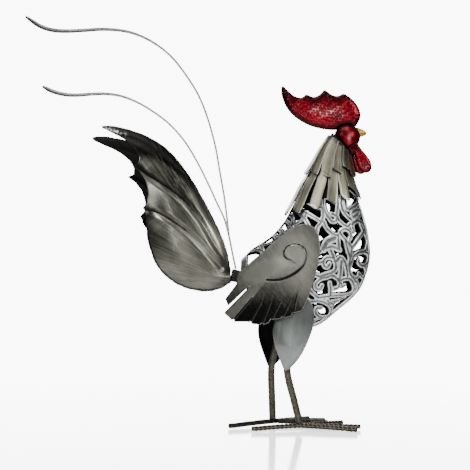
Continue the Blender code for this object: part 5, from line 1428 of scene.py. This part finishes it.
def plume(name, path, side):
    """A strip along a curve: a small rectangle with four bevelled corners, carried along the path and turned."""
    line = smooth(path, 10)
    along = to_unit(np.gradient(line, axis=0))
    share = np.linspace(0, 1, len(line))
    middle = np.stack([line[:, 0], side * (2.2 + 4.8 * share), line[:, 1]], axis=1)
    normal = np.stack([-along[:, 1], np.zeros(len(line)), along[:, 0]], axis=1)
    grown = np.clip((share - 0.55) / 0.4, 0, 1)
    width = (2.6 + 4.4 * grown) * (1 - 0.35 * ease(0.985, 1.0, share))
    thick = PLUME_HALF_THICK * (1 - 0.6 * ease(0.96, 1.0, share))
    angle, level = math.radians(16) * grown[:, None], np.array([0.0, 1.0, 0.0])
    across = np.cos(angle) * level + np.sin(angle) * normal
    up = np.cos(angle) * normal - np.sin(angle) * level
    points = middle[:, None] + across[:, None] * (PLUME_SECTION[:, 0] * width[:, None] / 2)[..., None]
    points = points + up[:, None] * (PLUME_SECTION[:, 1] * thick[:, None])[..., None]
    count, around = len(line), len(PLUME_SECTION)
    points = np.vstack([points.reshape(-1, 3), points[0].mean(axis=0), points[-1].mean(axis=0)])
    rub = np.append(np.tile(np.abs(PLUME_SECTION[:, 0]) > 0.9, count) * 0.45, [0, 0])
    uv = np.stack([np.repeat(walk_of(line) / 1000, around), np.tile(PLUME_SECTION[:, 0] * 0.004, count)], axis=1)
    piece(name, points, capped(count, around), PLUME_STEEL, "plume_steel", (name,), uv=np.vstack([uv, uv[:2]]),
          sharp=50.0, rub=rub, hollow=0 * rub)


plume("plume_upper", (
    (0.8, 157), (-2.4, 172), (-5.8, 189), (-7.6, 204), (-10.7, 228.5), (-15.3, 254.6), (-19.9, 280.6),
    (-27.5, 308.1), (-36.7, 331.1), (-49, 351), (-62.7, 368.6), (-78.1, 381.6), (-94.9, 390.8), (-111.7, 395.8),
    (-131.6, 397.4), (-151.5, 396.3), (-169.9, 395.5), (-183.7, 396.6), (-195.9, 400.7), (-210.2, 410.2),
), -1)
plume("plume_lower", (
    (0.8, 157), (-2.4, 172), (-5.8, 189), (-10.7, 207.1), (-18.4, 223.9), (-27.5, 243.8), (-38.3, 265.3),
    (-50.5, 285.2), (-65.8, 302.8), (-82.6, 315.8), (-99.5, 325.7), (-116.3, 332), (-131.6, 334), (-145.4, 333.7),
    (-159.2, 332.8), (-171.4, 333.4), (-183.7, 336.5), (-194.8, 341.8),
), 1)

# %% [markdown]
# ## Rods: legs and toes
# A rod is a circle carried along a path, and its radius may change with the place and the turn. The legs are
# plain bar with a rolled, uneven skin. The toes are ribbed bar, with slanting ribs and two seams along it.


# %% Rods
def rod(name, path, radius, finish, ribbed=False):
    """A rod along a path of points, with closed ends."""
    walk, sides = walk_of(path), 40
    along = to_unit(np.gradient(path, axis=0))
    hint = [0.0, 1.0, 0.0] if abs(along[0, 2]) > 0.7 else [0.0, 0.0, 1.0]
    across = to_unit(np.cross(hint, along))
    third = np.cross(along, across)
    turn = np.linspace(0, 2 * math.pi, sides, endpoint=False)
    grid = grid_points(walk, turn)
    if ribbed:
        slant = np.abs(np.sin(grid[:, 1]))
        wave = np.modf(grid[:, 0] / 4.6 + slant * 0.55 + 9)[0]
        rib = np.exp(-(((wave - 0.5) / 0.17) ** 2)) * ease(0.1, 0.35, slant)
        raised = np.maximum(rib, np.exp(-((slant / 0.2) ** 2)))
        size = radius - 0.45 * (1 - raised)
        rub, hollow = 0.75 * ease(0.75, 1.0, raised), 0.75 * (1 - ease(0.0, 0.5, raised))
    else:
        skin = grid * [1.0, radius]
        rough = noise2(skin, 1.7, 31) * 0.6 + noise2(skin, 4.5, 32) * 0.4
        size = radius - 0.3 * (1 - rough)
        rub, hollow = 0.12 * ease(0.6, 0.85, rough), 0.2 * (1 - ease(0.25, 0.45, rough))
    ends = np.minimum(grid[:, 0], walk[-1] - grid[:, 0])
    size = (size - 0.35 * (1 - arch(ends, 0.6))).reshape(len(path), sides, 1)
    ring = np.cos(turn)[:, None] * across[:, None] + np.sin(turn)[:, None] * third[:, None]
    points = np.vstack([(path[:, None] + size * ring).reshape(-1, 3), path[[0, -1]]])
    piece(name, points, capped(len(path), sides), finish, "leg_iron", (name,), sharp=60.0,
          rub=np.append(rub, [0, 0]), hollow=np.append(hollow, [0, 0]))


# %% Feet and legs
TOE_RADIUS, TOE_ARCH, TOE_FLAT = 2.4, 1.1, 5.0
SCALE_CRUST, LEG_CRUST = 0.22, 0.55  # the scale on the toes and legs, over their own radius
TOE_STEP, LEG_STEP = 0.42, 0.55  # between two rings of points
LEGS = {
    "right": {"ankle": (63.0, -22.0), "knee": (50.0, -25.0, 58.0), "hip": (56.5, -25.0),
              "toes": ((53.0, -29.6), (59.6, 1.3), (45.0, 44.5)), "back": (-46.5, -20.8)},
    "left": {"ankle": (38.0, 24.0), "knee": (36.5, 25.0, 59.0), "hip": (50.0, 25.0),
             "toes": ((38.6, 46.0), (54.4, 25.4), (56.0, 0.5)), "back": (-43.4, -39.6)},
}


def toe_path(ankle, reach, start):
    """From near the ankle to the toe's end: arched, then level where it stands."""
    length = math.hypot(*reach)
    direction = np.array(reach) / length
    s = np.append(np.linspace(start, length - TOE_FLAT, 12), length)
    rise = TOE_RADIUS + TOE_ARCH * np.maximum(1 - (s / (length - TOE_FLAT)) ** 2, 0)
    return np.column_stack([np.array(ankle) + direction * s[:, None], rise])


def butt_start(reach, others):
    """How far from the ankle a square ended toe starts, clear of the toes beside it."""
    turn = math.atan2(reach[1], reach[0])
    apart = [abs(turn - math.atan2(other[1], other[0])) for other in others]
    return max((TOE_RADIUS + 0.3 + TOE_RADIUS * math.cos(a)) / math.sin(a) for a in apart)


def underside(x, y, radius):
    """The body's lowest height over a round patch of the ground plan."""
    station, angle = np.meshgrid(np.linspace(0, 8, 400), np.linspace(math.pi / 2, math.pi, 200), indexing="ij")
    surface = body_surface(station, angle).reshape(-1, 3)
    near = np.hypot(surface[:, 0] - x, surface[:, 1] - abs(y)) < radius
    return surface[near, 2].min()


def toe(name, path, ribbed):
    """A toe on a path, evenly stepped: ribbed bar on the right foot, plain bar on the left."""
    even = evenly(path, int(walk_of(path)[-1] / TOE_STEP))
    rod(name, even + [0, 0, SCALE_CRUST], TOE_RADIUS + SCALE_CRUST, TOE_IRON, ribbed)


for side, leg in LEGS.items():
    outer, middle, inner = leg["toes"]
    back_part = toe_path(leg["ankle"], leg["back"], TOE_RADIUS)[::-1]
    ribbed = side == "right"
    toe(f"toe_{side}_outer_and_back", np.vstack([back_part, toe_path(leg["ankle"], outer, TOE_RADIUS)]), ribbed)
    toe(f"toe_{side}_middle", toe_path(leg["ankle"], middle, butt_start(middle, (outer, inner))), ribbed)
    toe(f"toe_{side}_inner", toe_path(leg["ankle"], inner, butt_start(inner, (outer,))), ribbed)
    ankle, knee, hip = np.array(leg["ankle"]), np.array(leg["knee"]), np.array(leg["hip"])
    foot_top = 2 * TOE_RADIUS + TOE_ARCH + 0.3
    lean = LEG_RADIUS * np.hypot(*(knee[:2] - ankle)) / (knee[2] - foot_top)
    start = np.array([*ankle, foot_top + lean - 0.4])
    top = np.array([*hip, underside(*hip, LEG_RADIUS * 1.5) - 0.3])
    bend = [start + (knee - start) * s for s in (0, 0.45, 0.86)] + [knee + (top - knee) * s for s in (0.12, 0.5, 1)]
    line = smooth(bend, 24)
    rod(f"leg_{side}", evenly(line, int(walk_of(line)[-1] / LEG_STEP)), LEG_RADIUS + LEG_CRUST, LEG_IRON)

# %% [markdown]
# The tail socket is a forged block with rounded edges. A ball whose directions are pulled towards the cube's
# faces, by raising each of them to a small power, gives such a block.


# %% The tail socket
SOCKET_SIZE, SOCKET_HEIGHT, SOCKET_TURN = (8.4, 18.0, 12.5), 150.2, math.radians(12)


def socket():
    """A rounded block, turned with the body's end."""
    rings, around = 50, 80
    ball = ball_points(rings, around)
    square = np.sign(ball) * np.abs(ball) ** 0.3
    square /= (np.abs(square) ** 8).sum(axis=1, keepdims=True) ** (1 / 8)
    x, y, z = (square * SOCKET_SIZE / 2).T
    c, s = math.cos(SOCKET_TURN), math.sin(SOCKET_TURN)
    points = np.stack([c * x + s * z, y, SOCKET_HEIGHT - s * x + c * z], axis=1)
    zero = np.zeros(len(ball))
    piece("tail_socket", points, poled(rings - 2, around), SOCKET_IRON, "black_iron", ("tail_socket",), rub=zero,
          hollow=zero)


socket()

# %% [markdown]
# ## Floor and light
# The photograph has a white ground that the feet are faintly mirrored in. The metal needs something to mirror as
# well: large soft lights overhead and behind, two high ones at the sides, two small ones in front, and darkness
# between them.

# %% Floor
def pale_floor():
    """White and a little glossy. It lights up by itself for the camera only, and fades out in a wide circle, so that
    it runs into the white ground behind."""
    made = bpy.data.materials.new("pale_floor")
    made.use_nodes = True
    tree = made.node_tree
    shader = tree.nodes["Principled BSDF"]
    shader.inputs["Base Color"].default_value = (0.85, 0.85, 0.85, 1.0)
    shader.inputs["Roughness"].default_value = 0.1
    shader.inputs["Emission Color"].default_value = (1.0, 1.0, 1.0, 1.0)
    seen = tree.nodes.new("ShaderNodeLightPath").outputs["Is Camera Ray"]
    tree.links.new(maths(tree, "MULTIPLY", seen, 1.6), shader.inputs["Emission Strength"])
    place = tree.nodes.new("ShaderNodeTexCoord").outputs["Object"]
    away = add(tree, "ShaderNodeVectorMath", {"operation": "LENGTH"}, _0=place).outputs["Value"]
    fade = add(tree, "ShaderNodeMapRange", {"interpolation_type": "SMOOTHSTEP"}, Value=away, From_Min=0.25,
               From_Max=0.85, To_Min=1.0, To_Max=0.0)
    tree.links.new(fade.outputs["Result"], shader.inputs["Alpha"])
    return made


floor_mesh = bpy.data.meshes.new("floor")
floor_mesh.from_pydata([(-1, -1, 0), (1, -1, 0), (1, 1, 0), (-1, 1, 0)], [], [(0, 1, 2, 3)])
floor_mesh.materials.append(pale_floor())
floor = bpy.data.objects.new("floor", floor_mesh)
floor.location = (0.0, 0.0, -0.0005)
bpy.context.scene.collection.objects.link(floor)

# %% Lights
def softbox(name, place, size, power, aim=(0.0, 0.0, 0.2)):
    """A rectangular area light at a place, turned to a point: it looks down its own z axis."""
    data = bpy.data.lights.new(name, "AREA")
    data.shape = "RECTANGLE"
    data.size, data.size_y = size
    data.energy = power
    made = bpy.data.objects.new(name, data)
    made.location = place
    back = np.array(place, float) - aim
    back /= np.linalg.norm(back)
    made.rotation_euler = (math.acos(float(back[2])), 0.0, math.atan2(float(back[0]), -float(back[1])))
    bpy.context.scene.collection.objects.link(made)


softbox("overhead", (-0.1, -0.3, 1.5), (0.9, 0.7), 20.0)
softbox("high_left", (-0.9, -1.0, 0.95), (0.45, 0.45), 9.0)
softbox("high_right", (0.95, -0.9, 0.8), (0.35, 0.7), 8.0)
softbox("near_camera", (-0.25, -1.5, 0.38), (0.12, 0.12), 2.4)
softbox("low_front", (0.2, -1.2, 0.02), (0.9, 0.12), 1.5)
softbox("behind", (-0.3, 1.2, 0.9), (0.9, 0.6), 12.0)
print("lights:", len(bpy.data.lights))

# %% [markdown]
# The room round the sculpture is dim, so that the steel keeps its blacks, with a pale glow from the floor below.
# Behind it, low down, stands a bright band that only the floor mirrors to the camera.

# %% World
world = bpy.data.worlds.new("studio")
world.use_nodes = True
bpy.context.scene.world = world
tree = world.node_tree
shown = tree.nodes["Background"]
shown.inputs["Color"].default_value = (1.0, 1.0, 1.0, 1.0)
shown.inputs["Strength"].default_value = 10.0
room = tree.nodes.new("ShaderNodeBackground")
room.inputs["Color"].default_value = (0.98, 1.0, 1.0, 1.0)
way = add(tree, "ShaderNodeSeparateXYZ", None, _0=tree.nodes.new("ShaderNodeTexCoord").outputs["Generated"]).outputs
below = maths(tree, "MULTIPLY", ramp(tree, way[2], 0.0, -0.5), 0.3)
above = maths(tree, "MULTIPLY", ramp(tree, way[2], 0.1, 0.8), 0.22)
low_band = maths(tree, "MULTIPLY", ramp(tree, way[2], 0.22, 0.15), ramp(tree, way[2], -0.02, 0.0))
band = maths(tree, "MULTIPLY", maths(tree, "MULTIPLY", low_band, ramp(tree, way[1], 0.94, 0.97)), 11.0)
glow = maths(tree, "ADD", maths(tree, "ADD", below, above), maths(tree, "ADD", band, 0.1))
tree.links.new(glow, room.inputs["Strength"])
seen = tree.nodes.new("ShaderNodeLightPath")
mix = tree.nodes.new("ShaderNodeMixShader")
tree.links.new(seen.outputs["Is Camera Ray"], mix.inputs["Fac"])
tree.links.new(room.outputs["Background"], mix.inputs[1])
tree.links.new(shown.outputs["Background"], mix.inputs[2])
tree.links.new(mix.outputs["Shader"], tree.nodes["World Output"].inputs["Surface"])
